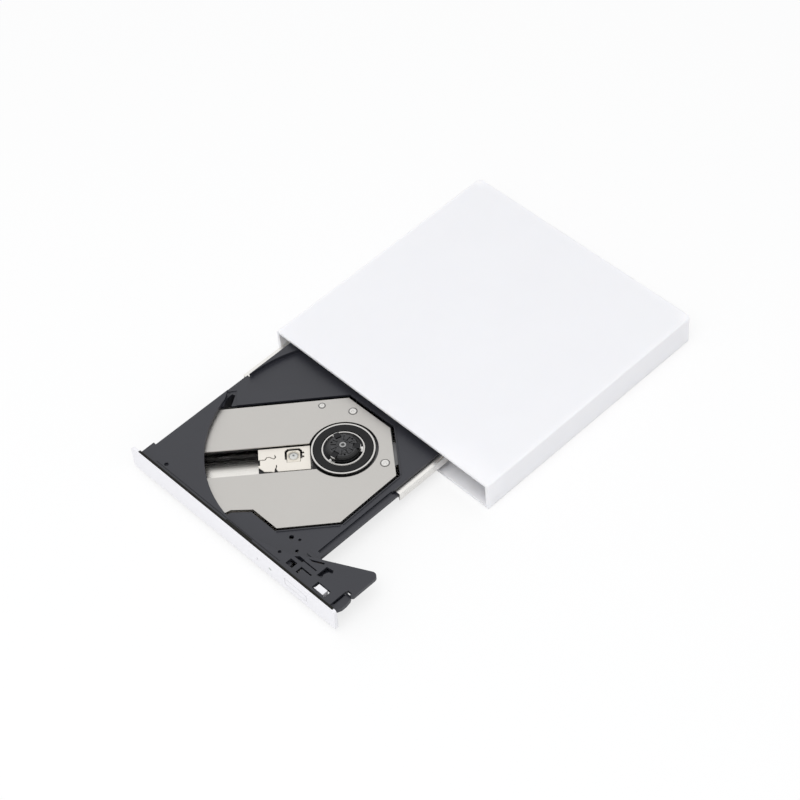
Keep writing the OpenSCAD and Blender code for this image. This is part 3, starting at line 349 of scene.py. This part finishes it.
def hubPlastic():
    # moulded hub: its slope painted darker than its top as shade, with a rubbed mottle over both
    f = Finish("hubBlack")
    out = f.fromAxis(spindle, hubSet["reach"] * mm)
    # painted shade: darker past the shoulder, on the slope
    tone = f.ramp(out, list(zip(hubSet["shoulder"], (hubSet["top"], hubSet["shadedSlope"]))))
    rubbed = f.noise(900, 3)
    f.feed("Base Color", f.times(tone, f.ramp(rubbed, [(0.35, hubSet["worn"]), (0.65, (1, 1, 1))])))
    f.feed("Roughness", f.span(rubbed, 0.25, 0.42))
    f.feed("Normal", f.bump(f.noise(3300, 3), hubSet["depth"] * mm, 0.6, f.edge(hubSet["edge"] * mm)))
    f.set(IOR=hubSet["index"])
    return f.mat


def twoTone(name, way, start, end, first, last, rough, brush):
    # sheet steel that changes tone along one way, between two places in mm
    f = Finish(name)
    apart = f.node("ShaderNodeSeparateXYZ")
    f.link(f.where, apart.inputs[0])
    along = f.node("ShaderNodeMapRange")
    along.inputs["From Min"].default_value = start * mm
    along.inputs["From Max"].default_value = end * mm
    f.link(apart.outputs[way], along.inputs["Value"])
    lines = f.drawn(sledTurn)
    tone = f.ramp(along.outputs[0], [(0, first), (1, last)])
    cloud = f.ramp(f.noise(sheetSet["cloud"], 3), [(0.3, (0.93, 0.93, 0.93)), (0.7, (1, 1, 1))])
    f.feed("Base Color", f.times(tone, cloud))
    f.feed("Roughness", f.span(lines, rough - brush, rough + brush))
    f.feed("Normal", f.bump(lines, sheetSet["depth"] * mm, sheetSet["bump"], f.edge(sheetSet["edge"] * mm)))
    f.set(Metallic=1.0)
    return f.mat


rubberSet = {"grain": 2600, "depth": 0.02, "edge": 0.2, "rough": (0.55, 0.8)}


def softRubber(name, colour, index):
    f = Finish(name)
    speck = f.noise(rubberSet["grain"], 4)
    f.feed("Base Color", cloudy(f, colour, 0.15, 60))
    f.feed("Roughness", f.span(speck, *rubberSet["rough"]))
    f.feed("Normal", f.bump(speck, rubberSet["depth"] * mm, 0.5, f.edge(rubberSet["edge"] * mm)))
    f.set(IOR=index)
    return f.mat


def clearPlastic(name, colour, rough, through):
    f = Finish(name)
    f.feed("Base Color", cloudy(f, colour, 0.04, 200))
    f.feed("Roughness", f.span(f.noise(1500, 2), rough, rough + 0.08))
    f.set(IOR=1.5, Transmission_Weight=through)
    return f.mat


# tones of the lens from its middle outwards: dark eye, pale bowl, thin dark foot
lensTones = [(0.16, (0.2, 0.2, 0.2)), (0.32, (0.75, 0.73, 0.66)), (0.78, (0.84, 0.82, 0.75)),
             (0.93, (0.3, 0.29, 0.27))]


def coatedLens():
    low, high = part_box("objective_lens")
    f = Finish("coatedLens")
    out = f.fromAxis((low + high) / 2, (high.x - low.x) / 2)
    f.feed("Base Color", f.ramp(out, lensTones))
    f.feed("Roughness", f.span(f.noise(900, 2), 0.05, 0.12))
    f.set(IOR=1.5, Transmission_Weight=0.15)
    f.set(Coat_Weight=0.5, Coat_Roughness=0.03, Coat_Tint=(0.85, 0.9, 1, 1))
    return f.mat


windingScale = 1050  # turns 0.3 mm apart


def woundCopper():
    # enamelled wire in even turns
    f = Finish("woundCopper")
    turns = f.node("ShaderNodeTexWave", wave_type="BANDS", bands_direction="X")
    turns.inputs["Scale"].default_value = windingScale
    turns.inputs["Distortion"].default_value = 0.4
    f.link(f.where, turns.inputs["Vector"])
    wires = turns.outputs["Fac"]
    f.feed("Base Color", f.ramp(wires, [(0.1, (0.16, 0.05, 0.02)), (0.6, (0.72, 0.33, 0.14))]))
    f.feed("Roughness", f.span(wires, 0.5, 0.3))
    f.feed("Normal", f.bump(wires, 0.08 * mm, 0.8, f.edge(0.1 * mm)))
    f.set(Metallic=0.9)
    return f.mat


def ribbonFilm():
    # pale film over flat conductors
    f = Finish("ribbonFilm")
    wave = f.node("ShaderNodeTexWave", wave_type="BANDS", bands_direction="DIAGONAL")
    wave.inputs["Scale"].default_value = 260
    f.link(f.where, wave.inputs["Vector"])
    f.feed("Base Color", f.ramp(wave.outputs["Fac"], [(0.35, (0.78, 0.76, 0.7)), (0.65, (0.6, 0.57, 0.5))]))
    f.feed("Roughness", f.span(f.noise(900, 2), 0.3, 0.45))
    f.set(IOR=1.45)
    return f.mat


def circuitBoard():
    # solder mask over tracks
    f = Finish("circuitBoard")
    cells = f.node("ShaderNodeTexBrick")
    cells.inputs["Scale"].default_value = 420
    cells.inputs["Mortar Size"].default_value = 0.06
    cells.inputs["Color1"].default_value = (0.012, 0.1, 0.05, 1)
    cells.inputs["Color2"].default_value = (0.015, 0.12, 0.06, 1)
    cells.inputs["Mortar"].default_value = (0.03, 0.2, 0.1, 1)
    f.link(f.where, cells.inputs["Vector"])
    f.feed("Base Color", cells.outputs["Color"])
    f.feed("Roughness", f.span(f.noise(800, 2), 0.25, 0.4))
    f.feed("Normal", f.bump(cells.outputs["Fac"], 0.02 * mm, 0.5, f.edge(0.1 * mm)))
    f.set(IOR=1.5)
    return f.mat


plastics = {
    # colour, roughness, then the grain, its depth and the edge in mm, the cloud, index, glow
    "caseWhite": ((0.92, 0.913, 0.94), 0.42, 0.4, 0.005, 0.3, 0.006, 1.5, 0.35),
    "bezelWhite": ((0.86, 0.855, 0.885), 0.34, 0.4, 0.003, 0.25, 0.006),
    "trayCharcoal": ((0.0145, 0.0155, 0.0225), 0.46, 0.28, 0.012, 0.22, 0.1, 1.62),
    "blackPlastic": ((0.018, 0.018, 0.02), 0.4, 0.3, 0.008, 0.12, 0.1),
    "paleNylon": ((0.74, 0.72, 0.66), 0.45, 0.3, 0.006, 0.12, 0.03),
    "pickupCream": ((0.81, 0.768, 0.7), 0.4, 0.5, 0.003, 0.08, 0.02),
    "lensFrame": ((0.76, 0.715, 0.63), 0.4, 0.3, 0.004, 0.08, 0.04),
}
metals = {
    # colour, roughness, way of the drawn lines, their change in roughness, depth and edge in mm, cloud
    "zincSteel": ((0.66, 0.645, 0.62), 0.3),
    "railSteel": ((0.89, 0.875, 0.845), 0.28, math.radians(90)),
    "shieldGrey": ((0.585, 0.569, 0.545), 0.42, math.radians(8), 0.05, 0.002, 0.1, 0.012),
    # the rods and lead screw are darkened far below bright steel, painted shade in the slot
    "rodSteel": ((0.075, 0.075, 0.077), 0.36, sledTurn, 0.04),
    # the washers' dark grey is painted shade in the grooves round the shield screws
    "washerGrey": ((0.2, 0.198, 0.195), 0.4, 0.0, 0.05),
    # the pickup's cast base is darkened near black, painted shade inside the slot
    "castGrey": ((0.04, 0.04, 0.042), 0.5, 0.0, 0.06, 0.01),
    "screwSteel": ((0.76, 0.75, 0.73), 0.26, 0.4, 0.06),
    "contactGold": ((0.8, 0.6, 0.25), 0.2, math.radians(90), 0.05),
}
twoTones = {
    # way, from and to in mm, first and last colour, roughness and its change
    # the under plate is dull below and painted bright on its top, a painted highlight
    "floorSteel": ("Z", 3.4, 3.7, (0.56, 0.55, 0.53), (0.9, 0.88, 0.84), 0.26, 0.06),
    # the frame is painted dark round the motor and the slot as shade there, and lighter at its right end
    # for painted glints
    "frameSteel": ("X", 10, 20, (0.045, 0.045, 0.047), (0.2, 0.2, 0.205), 0.43, 0.07),
}
silver = (0.74, 0.725, 0.7)
nearBlack = (0.03, 0.03, 0.032)
turned = {
    # rings from the axis outwards, each with its start in mm, and roughness
    "turntableRings": ([(0, nearBlack), (8.97, silver), (9.55, nearBlack), (13.55, silver)], 0.28),
    "bossSteel": ([(0, (0.12, 0.12, 0.12)), (0.78, (0.42, 0.42, 0.42))], 0.3),
    "pawlTips": ([(0, (0.035, 0.035, 0.037)), (7.75, (0.78, 0.78, 0.76))], 0.3),
}
rubbers = {
    # colour, index
    "matRubber": ((0.009, 0.009, 0.0095), 1.38),
    # the near black foam is painted shadow behind the bezel's top edge
    "sealFoam": ((0.013, 0.0125, 0.01), 1.25),
    "footRubber": ((0.035, 0.035, 0.036), 1.45),
}
finishes = {
    "hubBlack": hubPlastic(),
    "lampWindow": clearPlastic("lampWindow", (0.8, 0.86, 0.82), 0.2, 0.35),
    "ribbonFilm": ribbonFilm(),
    "coatedLens": coatedLens(),
    "woundCopper": woundCopper(),
    "circuitBoard": circuitBoard(),
}
for make, kinds in ((mouldedPlastic, plastics), (sheetMetal, metals), (twoTone, twoTones),
                    (turnedMetal, turned), (softRubber, rubbers)):
    for name, values in kinds.items():
        finishes[name] = make(name, *values)

dressed = {
    "caseWhite": ["top_cover", "bottom_cover"],
    "bezelWhite": ["tray_bezel", "eject_button"],
    "lampWindow": ["led_window"],
    "trayCharcoal": ["tray"],
    "hubBlack": ["hub_cap"],
    "blackPlastic": ["left_guide", "right_guide", "usb_tongue", "eject_switch", "board_chips"],
    "lensFrame": ["lens_holder"],
    "paleNylon": ["eject_pusher", "screw_nut", "ribbon_socket", "tray_ribbon_socket",
                  "ribbon_cable"],
    "pawlTips": ["chuck_pawl_1", "chuck_pawl_2", "chuck_pawl_3"],
    "zincSteel": ["chassis_pan", "chassis_lid", "chassis_screws", "case_screws", "board_screws",
                  "tray_screws", "shield_screws", "traverse_screws", "latch_post", "latch_spring",
                  "pusher_spring", "usb_socket", "spindle_motor_base", "sled_motor", "actuator_yoke"],
    "floorSteel": ["tray_under_plate"],
    "frameSteel": ["traverse_frame", "latch_lever"],
    "rodSteel": ["guide_rod_main", "guide_rod_sub", "lead_screw"],
    "turntableRings": ["turntable"],
    "bossSteel": ["spindle_shaft"],
    "railSteel": ["left_rail", "right_rail"],
    "shieldGrey": ["shield_plate"],
    "pickupCream": ["pickup_cover"],
    "matRubber": ["turntable_mat"],
    "footRubber": ["rubber_feet", "dampers"],
    "woundCopper": ["stator", "solenoid"],
    "circuitBoard": ["main_board", "switch_board"],
    "castGrey": ["pickup_base"],
    "coatedLens": ["objective_lens"],
}
for finish, names in dressed.items():
    for name in names:
        nodes[name].data.materials.clear()
        nodes[name].data.materials.append(finishes[finish])
bare = set(nodes) - {name for names in dressed.values() for name in names}
print("finishes set; bare nodes:", sorted(bare))


# pieces in mesh code

def addPiece(name, bm, finish, body=None, smooth=False):
    bmesh.ops.recalc_face_normals(bm, faces=bm.faces)
    mesh = bpy.data.meshes.new(name)
    bm.to_mesh(mesh)
    bm.free()
    mesh.materials.append(finishes[finish])
    if smooth:
        mesh.polygons.foreach_set("use_smooth", [True] * len(mesh.polygons))
    piece = bpy.data.objects.new(name, mesh)
    scene.collection.objects.link(piece)
    if body:
        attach(piece, body)
    return piece


def islands(name):
    # lowest and highest corner of each separate solid in a node
    bm = bmesh.new()
    bm.from_mesh(nodes[name].data)
    bmesh.ops.remove_doubles(bm, verts=bm.verts, dist=1e-6)
    left, boxes = set(bm.verts), []
    while left:
        todo = [left.pop()]
        low, high = todo[0].co.copy(), todo[0].co.copy()
        while todo:
            v = todo.pop()
            low = Vector(map(min, low, v.co))
            high = Vector(map(max, high, v.co))
            for e in v.link_edges:
                w = e.other_vert(v)
                if w in left:
                    left.remove(w)
                    todo.append(w)
        boxes.append((low, high))
    bm.free()
    return sorted(boxes, key=lambda b: (round(b[0].x, 5), round(b[0].y, 5)))


def ringOf(bm, centre, radius, z, count):
    turns = [2 * math.pi / count * i for i in range(count)]
    return [bm.verts.new((centre[0] + radius * math.cos(a), centre[1] + radius * math.sin(a), z))
            for a in turns]


def join(bm, a, b):
    for i in range(len(a)):
        k = (i + 1) % len(a)
        bm.faces.new((a[i], a[k], b[k], b[i]))


screwSet = {
    "sides": 40,
    # shares of the head's radius
    "crown": 0.84, "brow": 0.95, "arm": 0.56, "slit": 0.15,
    # shares of the head's height, from its top
    "side": 0.45, "round": 0.15, "depth": 0.62,
    # shares of the shank's radius, and of the recess at its foot
    "tip": 0.6, "taper": 0.5, "foot": 0.72,
}


def crossScrew(bm, centre, zTop, up, headR, headH, shankR, zEnd):
    # pan head with a cross recess; up is 1 where the head looks upwards
    k = screwSet
    neck = zTop - up * headH
    rings = [(shankR * k["tip"], zEnd), (shankR, zEnd + up * shankR * k["taper"]), (shankR, neck),
             (headR, neck), (headR, zTop - up * headH * k["side"]),
             (headR * k["brow"], zTop - up * headH * k["round"]), (headR * k["crown"], zTop)]
    made = [ringOf(bm, centre, r, z, k["sides"]) for r, z in rings]
    for a, b in zip(made, made[1:]):
        join(bm, a, b)
    bm.faces.new(made[0])
    arm, slit = headR * k["arm"], headR * k["slit"]
    corners = []
    for q in range(4):
        c, s = math.cos(q * math.pi / 2), math.sin(q * math.pi / 2)
        for x, y in ((arm, -slit), (arm, slit), (slit, slit)):
            corners.append((x * c - y * s, x * s + y * c))
    rim = [bm.verts.new((centre[0] + x, centre[1] + y, zTop)) for x, y in corners]
    deep = zTop - up * headH * k["depth"]
    foot = [bm.verts.new((centre[0] + k["foot"] * x, centre[1] + k["foot"] * y, deep)) for x, y in corners]
    join(bm, rim, foot)
    bm.faces.new(foot)
    edges = []
    for loop in (made[-1], rim):
        for i, v in enumerate(loop):
            w = loop[(i + 1) % len(loop)]
            edges.append(bm.edges.get((v, w)) or bm.edges.new((v, w)))
    bmesh.ops.triangle_fill(bm, use_beauty=True, edges=edges)


screwNodes = {
    # node: piece, body, head height and shank radius in mm, head upwards
    "shield_screws": ("shieldScrews", "tray", 0.3, 0.7, 1),
    "board_screws": ("boardScrews", "case", 0.6, 0.8, 1),
    "case_screws": ("caseScrews", "case", 0.65, 0.9, -1),
    "chassis_screws": ("chassisScrews", "case", 0.6, 0.9, -1),
    "tray_screws": ("trayScrews", "tray", 0.35, 0.8, -1),
}
for node, (name, body, headH, shankR, up) in screwNodes.items():
    bm = bmesh.new()
    for low, high in islands(node):
        top, end = (high.z, low.z) if up > 0 else (low.z, high.z)
        middle = (low + high) / 2
        crossScrew(bm, middle, top, up, (high.x - low.x) / 2, headH * mm, shankR * mm, end)
    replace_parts(addPiece(name, bm, "screwSteel", body), node)
print("screws made")


threadSet = {
    "pitch": 3.0, "depth": 0.22, "around": 20, "perTurn": 12,
    # along and across the pickup's path, and the plain length at each end, in mm
    "from": 14.6, "to": 59.8, "across": -13.0, "plain": (1, 1.2),
    # half the groove's width in turns, and how steep its sides are
    "half": 0.3, "steep": 1.6,
}


def threadedScrew():
    # the lead screw's coarse thread, one turn for each 3 mm of the sled's travel
    low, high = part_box("lead_screw")
    z = (low.z + high.z) / 2 / mm
    radius = (high.z - low.z) / 2 / mm
    s0, s1, n = threadSet["from"], threadSet["to"], threadSet["across"]
    first, last = s0 + threadSet["plain"][0], s1 - threadSet["plain"][1]
    count = int((s1 - s0) / threadSet["pitch"] * threadSet["perTurn"])
    bm = bmesh.new()
    rings = []
    for i in range(count + 1):
        s = s0 + (s1 - s0) * i / count
        ring = []
        for k in range(threadSet["around"]):
            a = 2 * math.pi * k / threadSet["around"]
            phase = ((s - s0) / threadSet["pitch"] - a / (2 * math.pi)) % 1
            groove = max(0, 1 - abs(phase - 0.5) / threadSet["half"])
            cutIn = threadSet["depth"] * min(1, threadSet["steep"] * groove)
            r = radius - (cutIn if first < s < last else 0)
            ring.append(bm.verts.new(onSled(s, n + r * math.cos(a), z + r * math.sin(a))))
        rings.append(ring)
    for a, b in zip(rings, rings[1:]):
        join(bm, a, b)
    bm.faces.new(rings[0])
    bm.faces.new(rings[-1])
    thread = addPiece("leadScrewThread", bm, "rodSteel", "lead_screw", True)
    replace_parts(thread, "lead_screw")


threadedScrew()


def sweep(bm, points, radius, sides=8):
    # round wire along a row of points
    rings, side = [], None
    for i, p in enumerate(points):
        ahead = (points[min(i + 1, len(points) - 1)] - points[max(i - 1, 0)]).normalized()
        if side is None:
            side = ahead.orthogonal().normalized()
        side = (side - ahead * side.dot(ahead)).normalized()
        other = ahead.cross(side)
        rings.append([bm.verts.new(p + radius * (math.cos(a) * side + math.sin(a) * other))
                      for a in [2 * math.pi * k / sides for k in range(sides)]])
    for a, b in zip(rings, rings[1:]):
        join(bm, a, b)
    bm.faces.new(rings[0])
    bm.faces.new(rings[-1])


coilSet = {"turns": 7.5, "wire": 0.2, "perTurn": 20}


def pusherCoil():
    low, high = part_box("pusher_spring")
    x, z = (low.x + high.x) / 2, (low.z + high.z) / 2
    wire = coilSet["wire"] * mm
    r = (high.x - low.x) / 2 - wire
    count = int(coilSet["turns"] * coilSet["perTurn"])
    points = []
    for i in range(count + 1):
        a = 2 * math.pi * coilSet["turns"] * i / count
        y = low.y + wire + (high.y - low.y - 2 * wire) * i / count
        points.append(Vector((x + r * math.cos(a), y, z + r * math.sin(a))))
    bm = bmesh.new()
    sweep(bm, points, wire)
    coil = addPiece("pusherCoil", bm, "screwSteel", None, True)
    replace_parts(coil, "pusher_spring")
    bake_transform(coil)


pusherCoil()


ribbonSet = {
    "thick": 0.12, "pan": 2.63, "fold": 0.16, "lift": 0.5, "boardEdge": 41.3, "boardTop": 5.45,
    "socketX": 44.6, "y": (32.0, 44.0), "x": (10.0, 22.0), "bendY": 57.0, "trayY": 3.1, "trayZ": 4.7,
    # start of a corner and its middle, at the board and at the tray
    "corner": (0.5, 0.15), "rise": (0.4, 0.1),
}


def strip(bm, line, across, thick):
    # flat cable along a line of points, with its width and thickness
    def offset(i):
        a, b = line[max(i - 1, 0)], line[min(i + 1, len(line) - 1)]
        return across.normalized().cross((b - a).normalized()) * thick
    rows = []
    for i, p in enumerate(line):
        d = offset(i)
        rows.append([bm.verts.new(q) for q in (p, p + across, p + across + d, p + d)])
    for a, b in zip(rows, rows[1:]):
        join(bm, a, b)
    bm.faces.new(rows[0])
    bm.faces.new(rows[-1])


def ribbonPieces():
    r = ribbonSet
    t = r["thick"] * mm
    bm = bmesh.new()
    y0, wide = r["y"][0] * mm, (r["y"][1] - r["y"][0]) * mm
    edge, top, pan = r["boardEdge"], r["boardTop"], r["pan"]
    c, d = r["corner"]
    line = [(r["socketX"], top), (edge + c, top), (edge + d, top - d), (edge, top - c),
            (edge, pan + c), (edge - d, pan + d), (edge - c, pan), (r["x"][0], pan)]
    strip(bm, [Vector((x * mm, y0, z * mm)) for x, z in line], Vector((0, wide, 0)), t)
    x0, across = r["x"][0] * mm, (r["x"][1] - r["x"][0]) * mm
    z = r["pan"] + r["fold"]
    strip(bm, [Vector((x0, y * mm, z * mm)) for y in (r["y"][0], r["bendY"])], Vector((across, 0, 0)), t)
    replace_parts(addPiece("ribbonFixed", bm, "ribbonFilm", "case"), "ribbon_cable")
    # the bend and the run under the tray, not attached to a body
    bm = bmesh.new()
    h = r["lift"] / 2 - r["fold"] / 2
    bend = [(r["bendY"] + h * math.sin(a), z + h - h * math.cos(a))
            for a in [math.pi * i / 8 for i in range(9)]]
    c, d = r["rise"]
    y, top = r["trayY"], z + 2 * h
    rise = [(y + c, top), (y + d, top + d), (y, top + c), (y, r["trayZ"])]
    strip(bm, [Vector((x0, y * mm, q * mm)) for y, q in bend + rise], Vector((across, 0, 0)), t)
    run = addPiece("ribbonRun", bm, "ribbonFilm")
    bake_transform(run)


ribbonPieces()
print("thread, coil and ribbon made")


def block(bm, low, high, soft=0.0):
    # box with its upright edges and top softened
    made = bmesh.ops.create_cube(bm, size=1)["verts"]
    low, high = Vector(low), Vector(high)
    for v in made:
        v.co = Vector(((low[i] + high[i]) / 2 + v.co[i] * (high[i] - low[i]) for i in range(3)))
    if soft:
        edges = {e for v in made for e in v.link_edges}
        bmesh.ops.bevel(bm, geom=list(edges), offset=soft, segments=2, affect="EDGES", profile=0.7)


contactSet = {"count": 5, "wide": 0.45, "pitch": 0.85, "thick": 0.06, "above": 0.7,
              "front": 1.6, "back": 0.4, "soft": 0.02}


def socketContacts():
    k = contactSet
    low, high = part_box("usb_tongue")
    mid = (low.x + high.x) / 2
    shellLow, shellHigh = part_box("usb_socket")
    zLow = (shellLow.z + shellHigh.z) / 2 + k["above"] * mm
    half = k["wide"] * mm / 2
    bm = bmesh.new()
    for i in range(k["count"]):
        x = mid + (i - (k["count"] - 1) / 2) * k["pitch"] * mm
        block(bm, (x - half, low.y + k["front"] * mm, zLow),
              (x + half, high.y - k["back"] * mm, zLow + k["thick"] * mm), k["soft"] * mm)
    addPiece("socketContacts", bm, "contactGold", "case")


socketContacts()


boardSet = {
    "seed": 7, "parts": 46, "size": (0.8, 0.5), "high": 0.5, "soft": 0.04,
    # free edge of the board, its free back, room round other pieces and between parts
    "margin": 1.5, "back": 6, "room": 1.6, "apart": 2.4, "pusherRun": 8.5,
    # soldered ends: half their size, height and softened edge
    "end": (0.15, 0.33), "endHigh": 0.46, "endSoft": 0.05,
    # shares of the size, for half a part and for the middle of its end
    "half": 0.6, "endAt": 0.72,
}


def boardParts():
    # small chip parts with soldered ends, on the free places of the board
    k = boardSet
    rnd = random.Random(k["seed"])
    low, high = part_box("main_board")
    taken = islands("board_chips") + islands("board_screws") + islands("chassis_screws")
    taken += [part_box("ribbon_socket"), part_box("usb_socket")]
    rodLow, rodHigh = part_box("eject_pusher")
    taken.append((rodLow, rodHigh + Vector((0, k["pusherRun"] * mm, 0))))
    margin, room, apart = k["margin"] * mm, k["room"] * mm, k["apart"] * mm
    bodies, ends = bmesh.new(), bmesh.new()
    spots = []
    while len(spots) < k["parts"]:
        x = rnd.uniform(low.x + margin, high.x - margin)
        y = rnd.uniform(low.y + margin, high.y - k["back"] * mm)
        turned = rnd.random() < 0.5
        free = all(not (a.x - room < x < b.x + room and a.y - room < y < b.y + room) for a, b in taken)
        if not free or any(abs(x - p) < apart and abs(y - q) < apart for p, q in spots):
            continue
        spots.append((x, y))
        w, d = k["size"][::-1] if turned else k["size"]
        hx, hy = w * mm * k["half"], d * mm * k["half"]
        block(bodies, (x - hx, y - hy, high.z), (x + hx, y + hy, high.z + k["high"] * mm), k["soft"] * mm)
        ex, ey = k["end"][::-1] if turned else k["end"]
        for side in (-1, 1):
            cx = x if turned else x + side * w * mm * k["endAt"]
            cy = y + side * d * mm * k["endAt"] if turned else y
            block(ends, (cx - ex * mm, cy - ey * mm, high.z),
                  (cx + ex * mm, cy + ey * mm, high.z + k["endHigh"] * mm), k["endSoft"] * mm)
    addPiece("boardParts", bodies, "blackPlastic", "case")
    addPiece("boardPartEnds", ends, "screwSteel", "case")


boardParts()


def raised(bm, rim, zLow, zHigh, soft):
    # upright block over an outline, with its top edge softened
    foot = [bm.verts.new((x, y, zLow)) for x, y in rim]
    crown = [bm.verts.new((x, y, zHigh)) for x, y in rim]
    join(bm, foot, crown)
    bm.faces.new(foot[::-1])
    edges = list(bm.faces.new(crown).edges)
    bmesh.ops.bevel(bm, geom=edges, offset=soft * mm, segments=2, affect="EDGES", profile=0.6)


def aroundHub(r, degrees):
    a = math.radians(degrees)
    return spindle.x + r * mm * math.cos(a), spindle.y + r * mm * math.sin(a)


padSet = {
    "high": 0.22, "sunk": 0.1, "soft": 0.06, "chord": 0.4, "turns": (0, 120, 240),
    # from and to in degrees, inner and outer radius in mm; the same for each third of the hub
    "pads": [(73, 96, 3.1, 4.6), (104, 127, 3.1, 5.6), (78, 122, 2.2, 2.7), (57, 68, 3.6, 5.2),
             (132, 143, 3.6, 5.2)],
}


def hubPads():
    # low pads on the hub, between its slits, holes and pawls
    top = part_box("hub_cap")[1].z
    zLow, zHigh = top - padSet["sunk"] * mm, top + padSet["high"] * mm
    bm = bmesh.new()
    for turn in padSet["turns"]:
        for start, end, inner, outer in padSet["pads"]:
            rim = []
            for r, first, last in ((outer, start, end), (inner, end, start)):
                steps = max(2, round(r * math.radians(end - start) / padSet["chord"]))
                rim += [aroundHub(r, turn + first + (last - first) * i / steps) for i in range(steps + 1)]
            raised(bm, rim, zLow, zHigh, padSet["soft"])
    addPiece("hubPads", bm, "hubBlack", "spindle")


hubPads()


clipSet = {
    "angles": (40, 160, 280), "inner": 7.75, "outer": 8.85, "half": 9.5, "steps": 6, "soft": 0.1,
    # foot below the mat's lower face, and top below its upper face
    "foot": 0.38, "top": 0.05,
}


def hubClips():
    # bright spring clips in the groove round the hub, one below each pawl
    low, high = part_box("turntable_mat")
    zLow, zHigh = low.z - clipSet["foot"] * mm, high.z - clipSet["top"] * mm
    sweepBy = [clipSet["half"] * (2 * i / clipSet["steps"] - 1) for i in range(clipSet["steps"] + 1)]
    bm = bmesh.new()
    for middle in clipSet["angles"]:
        rim = [aroundHub(r, middle + way * d) for r, way in ((clipSet["outer"], 1), (clipSet["inner"], -1))
               for d in sweepBy]
        raised(bm, rim, zLow, zHigh, clipSet["soft"])
    addPiece("hubClips", bm, "screwSteel", "spindle")


hubClips()


washerSet = {"inner": 0.08, "outer": 0.46, "below": (0.28, 0.08), "sides": 40}


def shieldShadeWashers():
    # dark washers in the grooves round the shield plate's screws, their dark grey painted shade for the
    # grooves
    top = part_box("shield_plate")[1].z
    low, high = [top - d * mm for d in washerSet["below"]]
    bm = bmesh.new()
    for a, b in islands("shield_screws"):
        r = (b.x - a.x) / 2
        rings = [ringOf(bm, (a + b) / 2, r + washerSet[side] * mm, z, washerSet["sides"])
                 for side, z in (("inner", low), ("outer", low), ("outer", high), ("inner", high))]
        for k in range(4):
            join(bm, rings[k], rings[(k + 1) % 4])
    addPiece("shieldShadeWashers", bm, "washerGrey", "tray")


shieldShadeWashers()


sealSet = {
    "high": 0.1, "crown": 0.03, "step": 1.4, "wave": 0.02, "sunk": 0.02, "shoulder": 0.12, "side": 0.6,
    # from and to along x, from and to along y, and the face it lies on, in mm
    "strips": [(-60.7, 63.2, -111.22, -110.18, 14.5), (-5.2, 11.2, -110.05, -108.95, 13.1)],
}


def deckShadeSeal():
    # dark foam on the tray's lip behind the bezel's top edge, and a short strip beside it; their near black
    # is painted shadow behind the bezel
    k = sealSet
    bm = bmesh.new()
    for x0, x1, y0, y1, z in k["strips"]:
        count = round((x1 - x0) / k["step"])
        foot, side = z - k["sunk"], z + k["high"] * k["side"]
        rows = []
        for i in range(count + 1):
            x = x0 + (x1 - x0) * i / count
            top = z + k["high"] + k["wave"] * math.sin(x * 0.9) * math.sin(x * 0.37)
            shape = [(y0, foot), (y0, side), (y0 + k["shoulder"], top), ((y0 + y1) / 2, top + k["crown"]),
                     (y1 - k["shoulder"], top), (y1, side), (y1, foot)]
            rows.append([bm.verts.new((x * mm, y * mm, q * mm)) for y, q in shape])
        for a, b in zip(rows, rows[1:]):
            join(bm, a, b)
        bm.faces.new(rows[0])
        bm.faces.new(rows[-1])
    addPiece("deckShadeSeal", bm, "sealFoam", "tray")


deckShadeSeal()


# section of the rim: out from the lens's radius and up from the holder's top, in mm
rimSet = {"sides": 48, "section": [(0.24, -0.02), (0.22, 0.08), (0.15, 0.1), (0.08, 0.08), (0.06, -0.02)]}


def lensRim():
    # raised rim that the lens sits in
    low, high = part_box("objective_lens")
    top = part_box("lens_holder")[1].z
    c = (low + high) / 2
    r = (high.x - low.x) / 2
    bm = bmesh.new()
    rows = [ringOf(bm, c, r + dr * mm, top + dz * mm, rimSet["sides"]) for dr, dz in rimSet["section"]]
    for a, b in zip(rows, rows[1:]):
        join(bm, a, b)
    join(bm, rows[-1], rows[0])
    addPiece("lensRim", bm, "lensFrame", "lens", True)


lensRim()
print("small pieces made")
